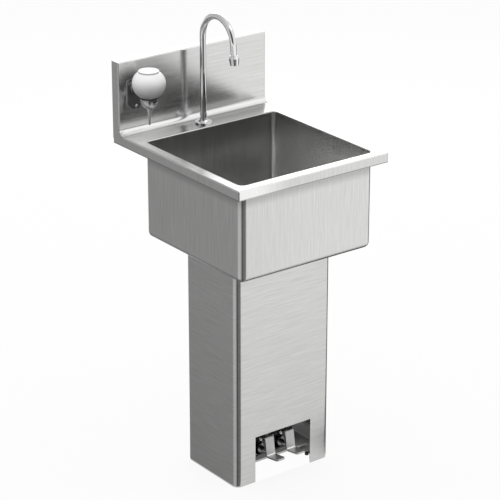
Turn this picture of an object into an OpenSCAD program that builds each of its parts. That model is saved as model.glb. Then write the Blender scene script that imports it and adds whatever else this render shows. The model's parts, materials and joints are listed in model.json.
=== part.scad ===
// Stainless steel hand wash sink on a pedestal, with twin foot pedals, a gooseneck spout and a soap globe.
// Millimetres. Z is up, the user stands on the -Y side, the origin is on the floor below the middle.

/* [Deck and splash] */
// Width of the deck, side to side
deck_w = 460; // [430:1:520]
// Depth of the deck, front edge to the wall
deck_d = 531; // [515:1:560]
// Height of the deck above the floor
deck_h = 864; // [820:1:900]
// Height of the turned-down rim
rim_h = 25; // [20:1:35]
// Width of the hem folded in below the rim
hem_w = 12; // [8:1:16]
// Thickness of the sheet
sheet_t = 1.5; // [1.2:0.1:2]
// Outer radius of a folded edge
fold_r = 3; // [2.5:0.1:4]
// Height of the splash above the deck
splash_h = 191; // [170:1:230]
// Depth of the boxed splash
splash_t = 28.5; // [24:0.5:36]
// Radius of the cove between deck and splash
cove_r = 16; // [10:1:20]

/* [Bowl] */
// Deck left beside the bowl, on each side
side_margin = 28; // [24:1:36]
// Deck left in front of the bowl
front_margin = 28; // [24:1:36]
// Depth of the ledge between bowl and splash
ledge_d = 74.5; // [70:0.5:82]
// Depth of the bowl below the deck
bowl_depth = 254; // [220:1:270]
// Outer radius of the bowl's corners and of its bottom bend
bowl_r = 16; // [12:1:22]
// Radius of the round dish for the drain
dish_r = 60; // [56:1:70]
// Drop of the dish below the bowl's floor
dish_drop = 4; // [2:0.5:6]

/* [Pedestal] */
// Width of the pedestal
ped_w = 300; // [290:1:330]
// Depth of the pedestal
ped_d = 216; // [208:1:230]
// Outer radius of the pedestal's upright corners
ped_r = 16; // [12:1:20]
// Width of the toe opening
toe_w = 178; // [170:1:200]
// Height of the toe opening
toe_h = 128; // [122:1:150]
// Width of the flanges folded into the pedestal
ped_flange = 20; // [18:1:26]
// Side of the square floor clips
clip_w = 28; // [24:1:30]
// Radius of the holes for the floor anchors
anchor_r = 5; // [4:0.5:6]
// Anchor holes, in from the pedestal's sides
anchor_in = 17; // [15:0.5:19]
// Anchor holes, in from the pedestal's front and back
anchor_back = 43; // [38:1:52]

/* [Spout] */
// Middle of the spout, in front of the splash
spout_back = 42.5; // [36:0.5:46]
// Outer radius of the spout tube
spout_tube_r = 7.95; // [7:0.05:8.5]
// Wall of the spout tube
spout_wall = 1.2; // [0.8:0.1:2]
// Radius of the gooseneck bend
neck_r = 64.5; // [50:0.5:75]
// Turn of the gooseneck bend, in degrees
neck_turn = 174; // [160:1:180]
// Height of the start of the bend above the deck
neck_rise = 231; // [200:1:260]
// Straight length after the bend
neck_end = 31; // [10:1:40]
// Radius of the base flange
flange_r = 22; // [20:0.5:25]
// Height of the sleeve above the deck
sleeve_h = 26; // [20:1:34]
// Largest radius of the aerator
aerator_r = 13; // [11.5:0.5:14]
// Radius of the aerator's outlet end
aerator_end_r = 10.6; // [9.6:0.1:11]
// Height of the aerator
aerator_h = 24.5; // [20:0.5:30]

/* [Soap dispenser] */
// Middle of the globe, in from the left side of the deck
soap_in = 49; // [46:1:80]
// Middle of the globe, in front of the splash
soap_out = 63.5; // [60:0.5:72]
// Middle of the globe above the deck
soap_h = 146; // [138:1:160]
// Outer radius of the globe
globe_r = 42.7; // [38:0.1:44]
// Wall of the globe
globe_wall = 2.5; // [1.5:0.1:4]
// Radius of the filler cap
cap_r = 26.2; // [22:0.1:28]
// Height of the filler cap's rim
cap_h = 4.2; // [3:0.1:6]
// Width of the wall plate
plate_w = 50; // [44:1:56]
// Height of the wall plate
plate_h = 78; // [70:1:86]
// Cut corners of the wall plate
plate_cut = 14; // [8:1:16]
// Thickness of the wall plate
plate_t = 4; // [3:0.5:6]
// Upward stroke of the push-up plunger
soap_stroke = 6; // [4:0.5:6]

/* [Foot pedals and valve] */
// Distance between the two pedals, middle to middle
pedal_pitch = 65; // [62:1:68]
// Width of a pedal
pedal_w = 27; // [25:1:28]
// Thickness of a pedal
pedal_t = 5; // [4:0.5:5.5]
// Reach of the strap's face in front of its hinge
pedal_reach = 14; // [13.5:0.5:16]
// Drop of the tread below its hinge
pedal_drop = 45; // [42:1:47]
// Length of the tread in front of the strap
tread_l = 43; // [38:1:48]
// Tilt of a pedal at rest, in degrees
pedal_tilt = 9; // [6:0.5:10]
// Swing of a pedal when pressed, in degrees
pedal_swing = 12; // [8:1:12]
// Hinge height above the floor
hinge_h = 100; // [98:1:102]
// Hinge distance behind the pedestal's face
hinge_in = 28.5; // [27:0.5:31]
// Stem axis below the hinge
stem_drop = 38; // [37:0.5:39]
// Radius of the hinge pins
pin_r = 3; // [2.5:0.1:3.4]
// Radius of the valve stems
stem_r = 3.5; // [3:0.1:4]
// Radius of the valve's main barrel
barrel_r = 15; // [14:0.5:16]
// Half length of the valve's main barrel
barrel_half = 60; // [56:1:64]
// Height of the shelf that carries the valve
shelf_h = 42; // [38:1:44]

/* [Drain and pipes] */
// Outer radius of the waste tube
waste_r = 19.05; // [16:0.05:20]
// Wall of the waste tube
waste_wall = 1.2; // [0.8:0.1:2]
// Waste arm, in from the right side of the pedestal
trap_in = 65; // [62:1:70]
// Drop of the waste arm below the drain's end
arm_drop = 40; // [30:1:60]
// End of the waste arm behind the pedestal
arm_out = 130; // [60:1:180]
// Radius of the holes for the supply hoses in the rear panel
supply_hole_r = 20; // [18:1:22]
// Outer radius of the riser tube
riser_r = 6.35; // [5:0.05:7]
// Bend radius of the riser tube
riser_bend = 20; // [16:1:22]

/* [Hidden] */
$fn = 64;

// Clearances: loose fits, running fits of pins and stems, seats, and the overrun of cuts
gap = 0.3;
run_gap = 0.06;
over = 2;

// Places worked out from the driving dimensions
front_y = -deck_d / 2;
back_y = deck_d / 2;
face_y = back_y - splash_t;
splash_top = deck_h + splash_h;
bowl_w = deck_w - 2 * side_margin + 2 * sheet_t;
bowl_d = deck_d - splash_t - ledge_d - front_margin + 2 * sheet_t;
bowl_y = front_y + front_margin - sheet_t + bowl_d / 2;
bowl_z = deck_h - bowl_depth;
ped_front = bowl_y - ped_d / 2;
ped_back = bowl_y + ped_d / 2;
shell_back = ped_back - sheet_t;
anchor_w = ped_w - 2 * anchor_in;
anchor_d = ped_d - 2 * anchor_back;
soap_x = deck_w / 2 - soap_in;
trap_w = ped_w / 2 - trap_in;

// Screws share one pan head
screw_r = 2;
head_r = 4;
head_h = 2.4;

// Rear panel
panel_gap = 10;
panel_w = ped_w - 2 * ped_r - 2 * sheet_t;
panel_top = bowl_z - panel_gap;
panel_screw_x = panel_w / 2 - ped_flange / 2;
panel_screw_in = 14;
panel_screw_low = panel_gap + panel_screw_in;
panel_screw_high = panel_top - panel_screw_in;

// Shelf that carries the valve
shelf_t = 2;
shelf_side = 32;
shelf_half = ped_w / 2 - shelf_side;
shelf_in = 30;
shelf_y = ped_front + shelf_in;
shelf_lip = 5;
shelf_back_strip = 26;
shelf_up = 22;
leg_top = 45;
leg_foot = 20;
foot_h = 16;
foot_r = 5.5;
foot_side = 6;
foot_x = shelf_half - foot_side;
foot_in = 12;

// Hinge, stems and valve
hinge_y = ped_front + hinge_in;
stem_z = hinge_h - stem_drop;
knuckle_r = 5.5;
gusset_t = 3;
gusset_drop = 34;
pedal_bend_r = 9;
pedal_top_r = 6.5;
tread_cut = 4;
lug_t = 4;
lug_r = 6.5;
lug_in = pedal_w / 2 + gap;
pin_half = lug_in + lug_t + gap;
pin_head_r = 4.8;
pin_head_h = 3.5;
ball_r = 4.5;
strap_back = pedal_reach - pedal_t;
ball_y = hinge_y - (strap_back - ball_r - gap + stem_drop * sin(pedal_tilt)) / cos(pedal_tilt);
pressed_y = hinge_y - (strap_back - ball_r - gap + stem_drop * sin(pedal_tilt - pedal_swing))
    / cos(pedal_tilt - pedal_swing);
stem_stroke = pressed_y - ball_y;
collar_r = 7;
collar_in = 1;
collar_t = 2;
spring_wire = 0.6;
spring_r = 5.2;
spring_turns = 4;
nose_back = 9;
nose_r = 6.5;
nose_l = 9;
rim_r = 14;
rim_l = 4;
hex_r = 13;
hex_l = 12;
nose_y = hinge_y + nose_back;
bonnet_y = nose_y + nose_l;
boss_y = bonnet_y + hex_l;
valve_in = 73.5;
valve_y = ped_front + valve_in;
boss_r = 12;
stem_short = 8;
stem_end_y = valve_y - stem_short;
outlet_r = 11;
outlet_up = 28;
base_half = 58;
base_t = 4;
base_web = 16;
bolt_r = 2.5;
bolt_head_r = 5;
bolt_head_h = 3.5;
bolt_x = 50;
web_x = bolt_x - bolt_head_r - base_web / 4 - gap;
bolt_off = barrel_r + bolt_head_r + gap;
base_d = 2 * (bolt_off + bolt_head_r + gap);
inlet_hex_r = 14;
inlet_hex_l = 8;
inlet_r = 10.3;
inlet_l = 16;
inlet_bore = 7;
inlet_face = 2;
inlet_deep = 11;
inlet_y = valve_y + barrel_r + inlet_face;

// Riser route and fittings
riser_wall = 1;
riser_x = 45;
riser_foot = stem_z + outlet_up;
riser_rise = 70;
riser_under = 25;
riser_beside = 50;
riser_turn_z = riser_foot + riser_rise;
riser_high = bowl_z - riser_under;
riser_back_z = bowl_z + riser_beside;
riser_socket = 6;
riser_nut_r = 12;
riser_nut_h = 14;
shank_r = 13;
shank_l = 70;
shank_end = deck_h - shank_l;
swivel_l = 22;
spout_y = face_y - spout_back;
grommet_r = 12;
grommet_lip = 2;

// Spout base and aerator
flange_edge = 3.5;
sleeve_r = 9.2;
bell_h = 12;
bell_r = 10.6;
locknut_r = 22;
locknut_h = 8;
washer_r = 20;
washer_t = 3;
ring_h = 3;
seam = 0.1;
seam_lap = 1;
aerator_shoulder = 6.5;
aerator_lap = 4;
screen_t = 3;
screen_in = 1.2;
screen_hole_r = 0.9;
screen_ring_share = 0.62;
screen_holes = 8;

// Drain
drain_r = 24;
drain_wall = 3;
drain_flange_r = 38;
drain_flange_t = 2.5;
drain_l = 46;
grid_r = 30;
grid_t = 2;
grid_hole_r = 2.6;
grid_rings = 2;
grid_first = 6;
grid_pitch = 9;
drain_gasket_t = 3;
drain_nut_r = 34;
drain_nut_h = 10;
drain_end = bowl_z - dish_drop - drain_l;
tail_nut_r = 28;
tail_nut_h = 20;
tail_in = 8;
trap_wall = 1.5;
trap_r = waste_r + gap + trap_wall;
trap_nut_h = 24;
trap_nut_r = 27;
trap_lap = 14;
trap_drop = 40;
arm_bend = 38;
arm_step = 0.25;
arm_sized = 50;
arm_h = drain_end - arm_drop;
escutcheon_r = 40;
escutcheon_h = 9;
trap_top = arm_h - arm_bend - trap_nut_h / 2;
trap_bottom = trap_top - trap_drop;

// Soap dispenser
soap_y = face_y - soap_out;
soap_z = deck_h + soap_h;
cap_top = 32.4;
cap_inset = 4;
cap_plug = 6;
ring_drop = 37.2;
gasket_r = 24;
gasket_t = 1.6;
arm_ring_r = 22.5;
arm_ring_t = 4;
arm_r = 6.5;
arm_boss_r = 15;
arm_boss_t = 5;
arm_root_drop = 25;
arm_turn = 8;
bell_top_r = 23;
bell_tall = 24;
bell_end_r = 8.8;
neck_hole_r = 9;
stud_r = 8.7;
stud_t = 3;
plunger_r = 7.4;
plunger_hold = 9;
cone_l = 28;
tip_r = 2.5;
tip_l = 14.5;
soap_spring_r = 5.6;
soap_spring_wire = 0.45;
soap_spring_turns = 3;
plunger_bore = plunger_hold + soap_stroke + 2 * soap_spring_wire * (soap_spring_turns + 1) + 2 * gap;
plate_drop = 43;
plate_edge = 1.2;
plate_screw_x = 18.5;
plate_screw_up = 30;
plate_screw_down = 31;
ring_z = soap_z - ring_drop;
bell_z = ring_z - gasket_t - arm_ring_t;
bell_foot = bell_z - bell_tall;

// A rectangle with true round corners, about the middle
module rounded_rect(w, d, r) {
    square([w - 2 * r, d], center = true);
    square([w, d - 2 * r], center = true);
    for (x = [-1, 1], y = [-1, 1]) translate([x * (w / 2 - r), y * (d / 2 - r)]) circle(r);
}

// A quarter of a flat ring, in the first quadrant
module quarter_ring(outer, inner) {
    intersection() {
        difference() {
            circle(outer);
            circle(inner);
        }
        square(outer);
    }
}

// The section of a tube
module tube_section(r, wall) {
    difference() {
        circle(r);
        circle(r - wall);
    }
}

// Turns a profile of (y, z) into a bar along X, about the middle
module along_x(l) {
    translate([-l / 2, 0, 0]) rotate([90, 0, 90]) linear_extrude(l) children();
}

// Turns a profile of (x, z) into a bar that runs back from y
module along_y(y, l) {
    translate([0, y + l, 0]) rotate([90, 0, 0]) linear_extrude(l) children();
}

// Carries a profile of (outwards, up) round a rectangle with round corners
module sweep_round(w, d, r) {
    for (s = [0:3]) rotate(90 * s) {
        a = s % 2 == 0 ? w : d;
        b = s % 2 == 0 ? d : w;
        translate([a / 2, b / 2 - r, 0]) rotate([90, 0, 0]) linear_extrude(b - 2 * r) children();
        translate([a / 2 - r, b / 2 - r, 0]) rotate_extrude(angle = 90) translate([r, 0]) children();
    }
}

// Bent tubes: a straight leg between each pair of points, and a true arc at each inner point
function unit(v) = v / norm(v);
function turn_at(p, i) = acos(unit(p[i] - p[i - 1]) * unit(p[i + 1] - p[i]));
function lead(p, i, bend) = i == 0 || i == len(p) - 1 ? 0 : bend * tan(turn_at(p, i) / 2);
function turned(a, b, c) = norm([a[0], a[1]]) < sin(run_gap)
    ? [atan2(-c[1], b[1]), asin(-a[2]), 0]
    : [atan2(b[2], c[2]), asin(-a[2]), atan2(a[1], a[0])];
module bent_tube(p, bend, r, wall) {
    for (i = [0:len(p) - 2]) {
        d = unit(p[i + 1] - p[i]);
        l = norm(p[i + 1] - p[i]) - lead(p, i, bend) - lead(p, i + 1, bend);
        translate(p[i] + d * lead(p, i, bend)) rotate([0, acos(d[2]), atan2(d[1], d[0])])
            linear_extrude(l) tube_section(r, wall);
    }
    for (i = [1:1:len(p) - 2]) {
        d = unit(p[i] - p[i - 1]);
        e = unit(p[i + 1] - p[i]);
        n = unit(e - (e * d) * d);
        translate(p[i] - d * lead(p, i, bend) + n * bend) rotate(turned(-n, d, cross(-n, d)))
            rotate_extrude(angle = turn_at(p, i)) translate([bend, 0]) tube_section(r, wall);
    }
}

// A round wire coil that stands on z = 0
coil_steps = 8;
coil_sides = 6;
module coil(r, wire, l, turns) {
    n = turns * coil_steps;
    rise = l - 2 * wire;
    rings = [for (i = [0:n]) let (a = 360 * i / coil_steps)
        [for (s = [0:coil_sides - 1]) let (b = 360 * s / coil_sides)
            [(r + wire * cos(b)) * cos(a), (r + wire * cos(b)) * sin(a),
                wire + rise * i / n + wire * sin(b)]]];
    points = [for (ring = rings) each ring];
    sides = [for (i = [0:n - 1], s = [0:coil_sides - 1]) let (t = (s + 1) % coil_sides)
        each [[i * coil_sides + s, (i + 1) * coil_sides + s, (i + 1) * coil_sides + t],
            [i * coil_sides + s, (i + 1) * coil_sides + t, i * coil_sides + t]]];
    start = [[for (s = [0:coil_sides - 1]) s]];
    end = [[for (s = [coil_sides - 1:-1:0]) n * coil_sides + s]];
    polyhedron(points, concat(sides, start, end));
}

// A pan head screw that points along -Z, with the underside of its head at z = 0
module screw(l) {
    translate([0, 0, -l]) cylinder(r = screw_r, h = l + head_h / 2);
    intersection() {
        cylinder(r = head_r, h = head_h);
        translate([0, 0, head_h - 2 * head_r]) sphere(2 * head_r);
    }
}

// A hexagon nut round a hole
module hex_nut(r, h, hole) {
    difference() {
        cylinder(r = r, h = h, $fn = 6);
        translate([0, 0, -over]) cylinder(r = hole, h = h + 2 * over);
    }
}

// Deck, rim, cove and splash: one folded sheet with welded corners

// The deck as a solid slab, drawn in by t from its outer faces
module slab(t) {
    r = fold_r - t;
    low = deck_h - rim_h - (t > 0 ? over : 0);
    high = deck_h - t;
    intersection() {
        translate([0, 0, low]) linear_extrude(high - low)
            translate([0, back_y - deck_d / 2 + (t > 0 ? over / 2 : 0)])
                rounded_rect(deck_w - 2 * t, deck_d - (t > 0 ? 2 * t - over : 0), r);
        along_x(deck_w + over) union() {
            translate([front_y + t + r, low]) square([deck_d + over, high - low]);
            translate([front_y + t, low]) square([r + over, high - low - r]);
            translate([front_y + t + r, high - r]) circle(r);
        }
        along_y(front_y - over, deck_d + 3 * over) translate([0, (low + high) / 2]) union() {
            square([deck_w - 2 * t - 2 * r, high - low], center = true);
            translate([0, -r / 2]) square([deck_w - 2 * t, high - low - r], center = true);
            for (x = [-1, 1]) translate([x * (deck_w / 2 - t - r), (high - low) / 2 - r]) circle(r);
        }
    }
}

// The cove and what stands behind it, as a solid block
module cove_block(t) {
    low = deck_h - (t > 0 ? rim_h + over : rim_h / 2);
    back = back_y + (t > 0 ? over : 0);
    r = cove_r + t;
    along_x(deck_w - 2 * t) difference() {
        translate([face_y - cove_r, low]) square([back - face_y + cove_r, deck_h + cove_r + fold_r - low]);
        translate([face_y + t - r, deck_h - t + r]) circle(r);
        translate([face_y - cove_r - over, deck_h - t + r]) square([cove_r + t + over, cove_r + fold_r]);
        translate([face_y - cove_r - over, deck_h - t]) square([over + t, cove_r + fold_r + over]);
    }
}

// The splash above the cove, as a solid block with folded upright and top edges
module splash_block(t) {
    r = fold_r - t;
    low = deck_h + (t > 0 ? 0 : cove_r);
    high = splash_top - t;
    back = back_y + (t > 0 ? over : 0);
    intersection() {
        translate([0, 0, low]) linear_extrude(high - low) union() {
            translate([-deck_w / 2 + t, face_y + t + r]) square([deck_w - 2 * t, back - face_y - t - r]);
            translate([-deck_w / 2 + t + r, face_y + t]) square([deck_w - 2 * t - 2 * r, 2 * r]);
            for (x = [-1, 1]) translate([x * (deck_w / 2 - t - r), face_y + t + r]) circle(r);
        }
        along_x(deck_w) union() {
            translate([face_y + t, low]) square([back - face_y, high - low - r]);
            translate([face_y + t + r, low]) square([back - face_y, high - low]);
            translate([face_y + t + r, high - r]) circle(r);
        }
    }
}

module deck_and_splash() color("lightsteelblue") {
    difference() {
        union() {
            slab(0);
            cove_block(0);
            splash_block(0);
        }
        slab(sheet_t);
        cove_block(sheet_t);
        splash_block(sheet_t);
        // the opening that the bowl is welded into
        translate([0, bowl_y, deck_h - rim_h]) linear_extrude(rim_h + over)
            rounded_rect(bowl_w + 2 * (fold_r - sheet_t), bowl_d + 2 * (fold_r - sheet_t),
                bowl_r + fold_r - sheet_t);
        translate([0, spout_y, deck_h - rim_h]) cylinder(r = shank_r + gap, h = rim_h + over);
        plate_screw_places() translate([0, 0, -plate_t - splash_t])
            cylinder(r = screw_r + gap / 2, h = splash_t + plate_t);
    }
    // hems folded in below the rim, and down behind the top of the splash
    for (x = [-1, 1]) translate([x * (deck_w / 2 - sheet_t / 2 - hem_w / 2), 0, deck_h - rim_h + sheet_t / 2])
        cube([hem_w + sheet_t / 2, deck_d - 2 * fold_r, sheet_t], center = true);
    translate([0, front_y + sheet_t / 2 + hem_w / 2, deck_h - rim_h + sheet_t / 2])
        cube([deck_w - 2 * fold_r, hem_w + sheet_t / 2, sheet_t], center = true);
    translate([0, back_y - sheet_t / 2, splash_top - hem_w / 2 - sheet_t / 2])
        cube([deck_w - sheet_t, sheet_t, hem_w], center = true);
}

// Bowl: walls and ball corners swept round, flared into the deck, with a dish for the drain
module bowl_section() {
    lip = fold_r - sheet_t;
    translate([-sheet_t, bowl_z + bowl_r]) square([sheet_t, bowl_depth - bowl_r - fold_r]);
    translate([-bowl_r, bowl_z + bowl_r]) mirror([0, 1]) quarter_ring(bowl_r, bowl_r - sheet_t);
    translate([lip, deck_h - fold_r]) mirror([1, 0]) quarter_ring(fold_r, lip);
}

module bowl() color("silver") translate([0, bowl_y, 0]) {
    sweep_round(bowl_w, bowl_d, bowl_r) bowl_section();
    difference() {
        translate([0, 0, bowl_z]) linear_extrude(sheet_t)
            square([bowl_w - 2 * bowl_r, bowl_d - 2 * bowl_r], center = true);
        translate([0, 0, bowl_z - over]) cylinder(r = dish_r, h = sheet_t + 2 * over);
    }
    translate([0, 0, bowl_z]) rotate_extrude()
        polygon([[drain_r + gap, -dish_drop], [dish_r - 2 * dish_drop, -dish_drop], [dish_r, 0],
            [dish_r, sheet_t], [dish_r - 2 * dish_drop, sheet_t - dish_drop],
            [drain_r + gap, sheet_t - dish_drop]]);
}

// Pedestal: front and sides in one bent sheet, with flanges folded in at the back and the top
module pedestal_shell() color("lightgray") {
    shell_d = shell_back - ped_front;
    shell_y = (shell_back + ped_front) / 2;
    rear_gap = ped_w - 2 * ped_r - 2 * ped_flange;
    difference() {
        translate([0, shell_y, 0]) linear_extrude(bowl_z) difference() {
            rounded_rect(ped_w, shell_d, ped_r);
            rounded_rect(ped_w - 2 * sheet_t, shell_d - 2 * sheet_t, ped_r - sheet_t);
            translate([0, shell_d / 2]) square([rear_gap, 2 * ped_r], center = true);
        }
        translate([-toe_w / 2, ped_front - over, -over]) cube([toe_w, ped_r + over, toe_h + over]);
        rear_screw_places() translate([0, 0, -ped_r]) cylinder(r = screw_r + gap / 2, h = ped_r + over);
        shelf_screw_places() translate([0, 0, -ped_r]) cylinder(r = screw_r + gap / 2, h = 2 * ped_r);
    }
    translate([0, shell_y, bowl_z - sheet_t]) linear_extrude(sheet_t) difference() {
        rounded_rect(ped_w - sheet_t, shell_d - sheet_t, ped_r - sheet_t / 2);
        square([ped_w - 2 * ped_flange, shell_d - 2 * ped_flange], center = true);
    }
}

// Places of the rear panel's screws, each turned to point into the panel
module rear_screw_places() {
    for (x = [-1, 1], z = [panel_screw_low, (panel_screw_low + panel_screw_high) / 2, panel_screw_high])
        translate([x * panel_screw_x, ped_back, z]) rotate([-90, 0, 0]) children();
}

module rear_access_panel() color("gainsboro") difference() {
    translate([-panel_w / 2, shell_back, panel_gap]) cube([panel_w, sheet_t, panel_top - panel_gap]);
    rear_screw_places() translate([0, 0, -ped_r]) cylinder(r = screw_r + gap / 2, h = ped_r + over);
    translate([riser_x, shell_back - over, riser_high]) rotate([-90, 0, 0])
        cylinder(r = grommet_r, h = sheet_t + 2 * over);
    translate([trap_w, shell_back - over, arm_h]) rotate([-90, 0, 0])
        cylinder(r = trap_r + 2 * over, h = sheet_t + 2 * over);
    at_pedals() translate([0, shell_back - over, stem_z]) rotate([-90, 0, 0])
        cylinder(r = supply_hole_r, h = sheet_t + 2 * over);
}

module rear_panel_screws() color("dimgray") rear_screw_places() screw(2 * sheet_t + over);

// Angle clips welded inside the pedestal, with the holes for the floor anchors
module floor_clips() color("slategray") for (x = [-1, 1], y = [-1, 1])
    translate([x * anchor_w / 2, bowl_y + y * anchor_d / 2, 0]) difference() {
        union() {
            translate([x * (ped_w - 2 * sheet_t - anchor_w - clip_w) / 4, 0, shelf_t / 2])
                cube([(ped_w - 2 * sheet_t - anchor_w + clip_w) / 2, clip_w, shelf_t], center = true);
            translate([x * ((ped_w - anchor_w) / 2 - sheet_t - shelf_t / 2), 0, clip_w / 2])
                cube([shelf_t, clip_w, clip_w], center = true);
        }
        translate([0, 0, -over]) cylinder(r = anchor_r, h = shelf_t + 2 * over);
    }

// Shelf: a folded plate on two front legs, screwed to the pedestal's rear flanges
module shelf_screw_places() {
    for (x = [-1, 1]) translate([x * (ped_w / 2 - ped_r - ped_flange / 2), shell_back - sheet_t - shelf_t,
        shelf_h + shelf_up / 2]) rotate([90, 0, 0]) children();
}

module bolt_places() {
    for (x = [-1, 1], y = [-1, 1]) translate([x * bolt_x, valve_y + y * bolt_off, shelf_h]) children();
}

module valve_shelf() color("darkgray") {
    rear_y = shell_back - sheet_t;
    wide = ped_w - 2 * ped_r;
    top = shelf_h - shelf_t;
    difference() {
        union() {
            translate([-shelf_half, shelf_y, top]) cube([2 * shelf_half, rear_y - shelf_y, shelf_t]);
            translate([-wide / 2, rear_y - shelf_back_strip, top]) cube([wide, shelf_back_strip, shelf_t]);
        }
        bolt_places() translate([0, 0, -over - shelf_t])
            cylinder(r = bolt_r + gap / 2, h = shelf_t + 2 * over);
    }
    translate([-shelf_half, shelf_y, shelf_h - shelf_lip]) cube([2 * shelf_half, shelf_t, shelf_lip]);
    difference() {
        for (x = [-1, 1]) translate([x * (wide - shelf_up) / 2, rear_y - shelf_t / 2, shelf_h + shelf_up / 2])
            cube([shelf_up, shelf_t, shelf_up], center = true);
        shelf_screw_places() translate([0, 0, -over]) cylinder(r = screw_r + gap / 2, h = shelf_t + 2 * over);
    }
    for (x = [-1, 1]) translate([x * (shelf_half - shelf_t / 2), 0, 0]) {
        along_x(shelf_t) polygon([[shelf_y, shelf_h], [shelf_y + leg_top, shelf_h],
            [shelf_y + leg_top, top], [shelf_y + leg_foot, foot_h], [shelf_y, foot_h]]);
        translate([-x * leg_foot / 2, shelf_y + leg_foot / 2, foot_h + shelf_t / 2])
            cube([leg_foot, leg_foot, shelf_t], center = true);
    }
}

module shelf_feet() color("black") for (x = [-1, 1])
    translate([x * foot_x, shelf_y + foot_in, 0]) cylinder(r = foot_r, h = foot_h);

module shelf_screws() color("dimgray") shelf_screw_places() screw(shelf_t + sheet_t - gap);

// Twin pedal valve: one casting with a barrel, two valve chambers, forked hinge lugs, an outlet and a base
module at_pedals() {
    for (x = [-1, 1]) translate([x * pedal_pitch / 2, 0, 0]) children();
}

module lug_profile() {
    translate([hinge_y, hinge_h]) circle(lug_r);
    polygon([[hinge_y, hinge_h + lug_r], [valve_y, stem_z + barrel_r], [valve_y, stem_z],
        [boss_y, stem_z + rim_r + over], [hinge_y, hinge_h - lug_r]]);
}

module valve_body() color("goldenrod") difference() {
    union() {
        translate([-barrel_half, valve_y, stem_z]) rotate([0, 90, 0])
            cylinder(r = barrel_r, h = 2 * barrel_half);
        at_pedals() translate([0, valve_y, stem_z]) rotate([90, 0, 0])
            cylinder(r = boss_r, h = valve_y - boss_y);
        at_pedals() for (s = [-1, 1]) translate([s * (lug_in + lug_t / 2), 0, 0])
            along_x(lug_t) lug_profile();
        translate([0, valve_y, stem_z]) cylinder(r = outlet_r, h = outlet_up);
        translate([0, valve_y, shelf_h + base_t / 2]) cube([2 * base_half, base_d, base_t], center = true);
        for (x = [-1, 1]) translate([x * web_x, valve_y, (shelf_h + stem_z) / 2])
            cube([base_web / 2, base_web, stem_z - shelf_h], center = true);
        at_pedals() translate([0, inlet_y, stem_z]) rotate([90, 0, 0])
            cylinder(r = boss_r, h = inlet_y - valve_y);
    }
    at_pedals() translate([0, stem_end_y + stem_stroke + over, stem_z]) rotate([90, 0, 0])
        cylinder(r = stem_r + run_gap, h = valve_in);
    at_pedals() translate([0, hinge_y, hinge_h]) rotate([0, 90, 0])
        cylinder(r = pin_r + run_gap, h = 2 * (pin_half + over), center = true);
    translate([0, valve_y, stem_z + outlet_up - riser_socket])
        cylinder(r = riser_r + gap, h = riser_socket + over);
    bolt_places() translate([0, 0, -over]) cylinder(r = bolt_r + gap / 2, h = base_t + 2 * over);
    at_pedals() translate([0, inlet_y + over, stem_z]) rotate([90, 0, 0])
        cylinder(r = inlet_bore, h = inlet_deep + over);
}

module valve_bolts() color("dimgray") bolt_places() {
    translate([0, 0, base_t]) cylinder(r = bolt_head_r, h = bolt_head_h, $fn = 6);
    translate([0, 0, -shelf_t - over]) cylinder(r = bolt_r, h = base_t + shelf_t + over);
}

module bonnet(x) color("silver")
    translate([x * pedal_pitch / 2, boss_y, stem_z]) rotate([90, 0, 0]) difference() {
        union() {
            cylinder(r = hex_r, h = hex_l, $fn = 6);
            translate([0, 0, hex_l - rim_l]) cylinder(r1 = rim_r - rim_l / 4, r2 = rim_r, h = rim_l / 4);
            translate([0, 0, hex_l - 3 * rim_l / 4]) cylinder(r = rim_r, h = rim_l / 2);
            translate([0, 0, hex_l - rim_l / 4]) cylinder(r1 = rim_r, r2 = rim_r - rim_l / 4, h = rim_l / 4);
            cylinder(r = nose_r, h = hex_l + nose_l);
        }
        translate([0, 0, -over]) cylinder(r = stem_r + run_gap, h = hex_l + nose_l + 2 * over);
    }
module hot_bonnet() bonnet(-1);
module cold_bonnet() bonnet(1);

module stem(x) color("gold") translate([x * pedal_pitch / 2, 0, stem_z]) {
    translate([0, ball_y, 0]) sphere(ball_r);
    translate([0, stem_end_y, 0]) rotate([90, 0, 0]) cylinder(r = stem_r, h = stem_end_y - ball_y);
    translate([0, ball_y + collar_in + collar_t, 0]) rotate([90, 0, 0]) cylinder(r = collar_r, h = collar_t);
}
module hot_stem() stem(-1);
module cold_stem() stem(1);

spring_l = nose_y - ball_y - collar_in - collar_t - 2 * gap;
module return_spring(x) color("lightgray") translate([x * pedal_pitch / 2, nose_y - gap, stem_z])
    rotate([90, 0, 0]) coil(spring_r, spring_wire, spring_l, spring_turns);
module hot_return_spring() return_spring(-1);
module cold_return_spring() return_spring(1);

// Pedal: a strap bent forward into a tread and back to a knuckle on the hinge pin, with side gussets
module pedal_side() {
    low = -pedal_drop - pedal_t;
    translate([-pedal_reach, low + pedal_bend_r])
        square([pedal_t, knuckle_r - low - pedal_bend_r - pedal_top_r]);
    translate([-pedal_reach + pedal_t - pedal_bend_r, low + pedal_bend_r])
        mirror([0, 1]) quarter_ring(pedal_bend_r, pedal_bend_r - pedal_t);
    translate([-pedal_reach + pedal_top_r, knuckle_r - pedal_top_r])
        mirror([1, 0]) quarter_ring(pedal_top_r, pedal_top_r - pedal_t);
    translate([-pedal_reach + pedal_top_r, knuckle_r - pedal_t])
        square([pedal_reach - pedal_top_r, pedal_t]);
    circle(knuckle_r);
}

module gusset_side() {
    front = -pedal_reach + pedal_t / 2;
    polygon([[front, knuckle_r - pedal_t], [-knuckle_r / 2, 0], [0, -knuckle_r / 2],
        [-pedal_reach + pedal_t, -gusset_drop], [front, -gusset_drop]]);
}

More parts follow.
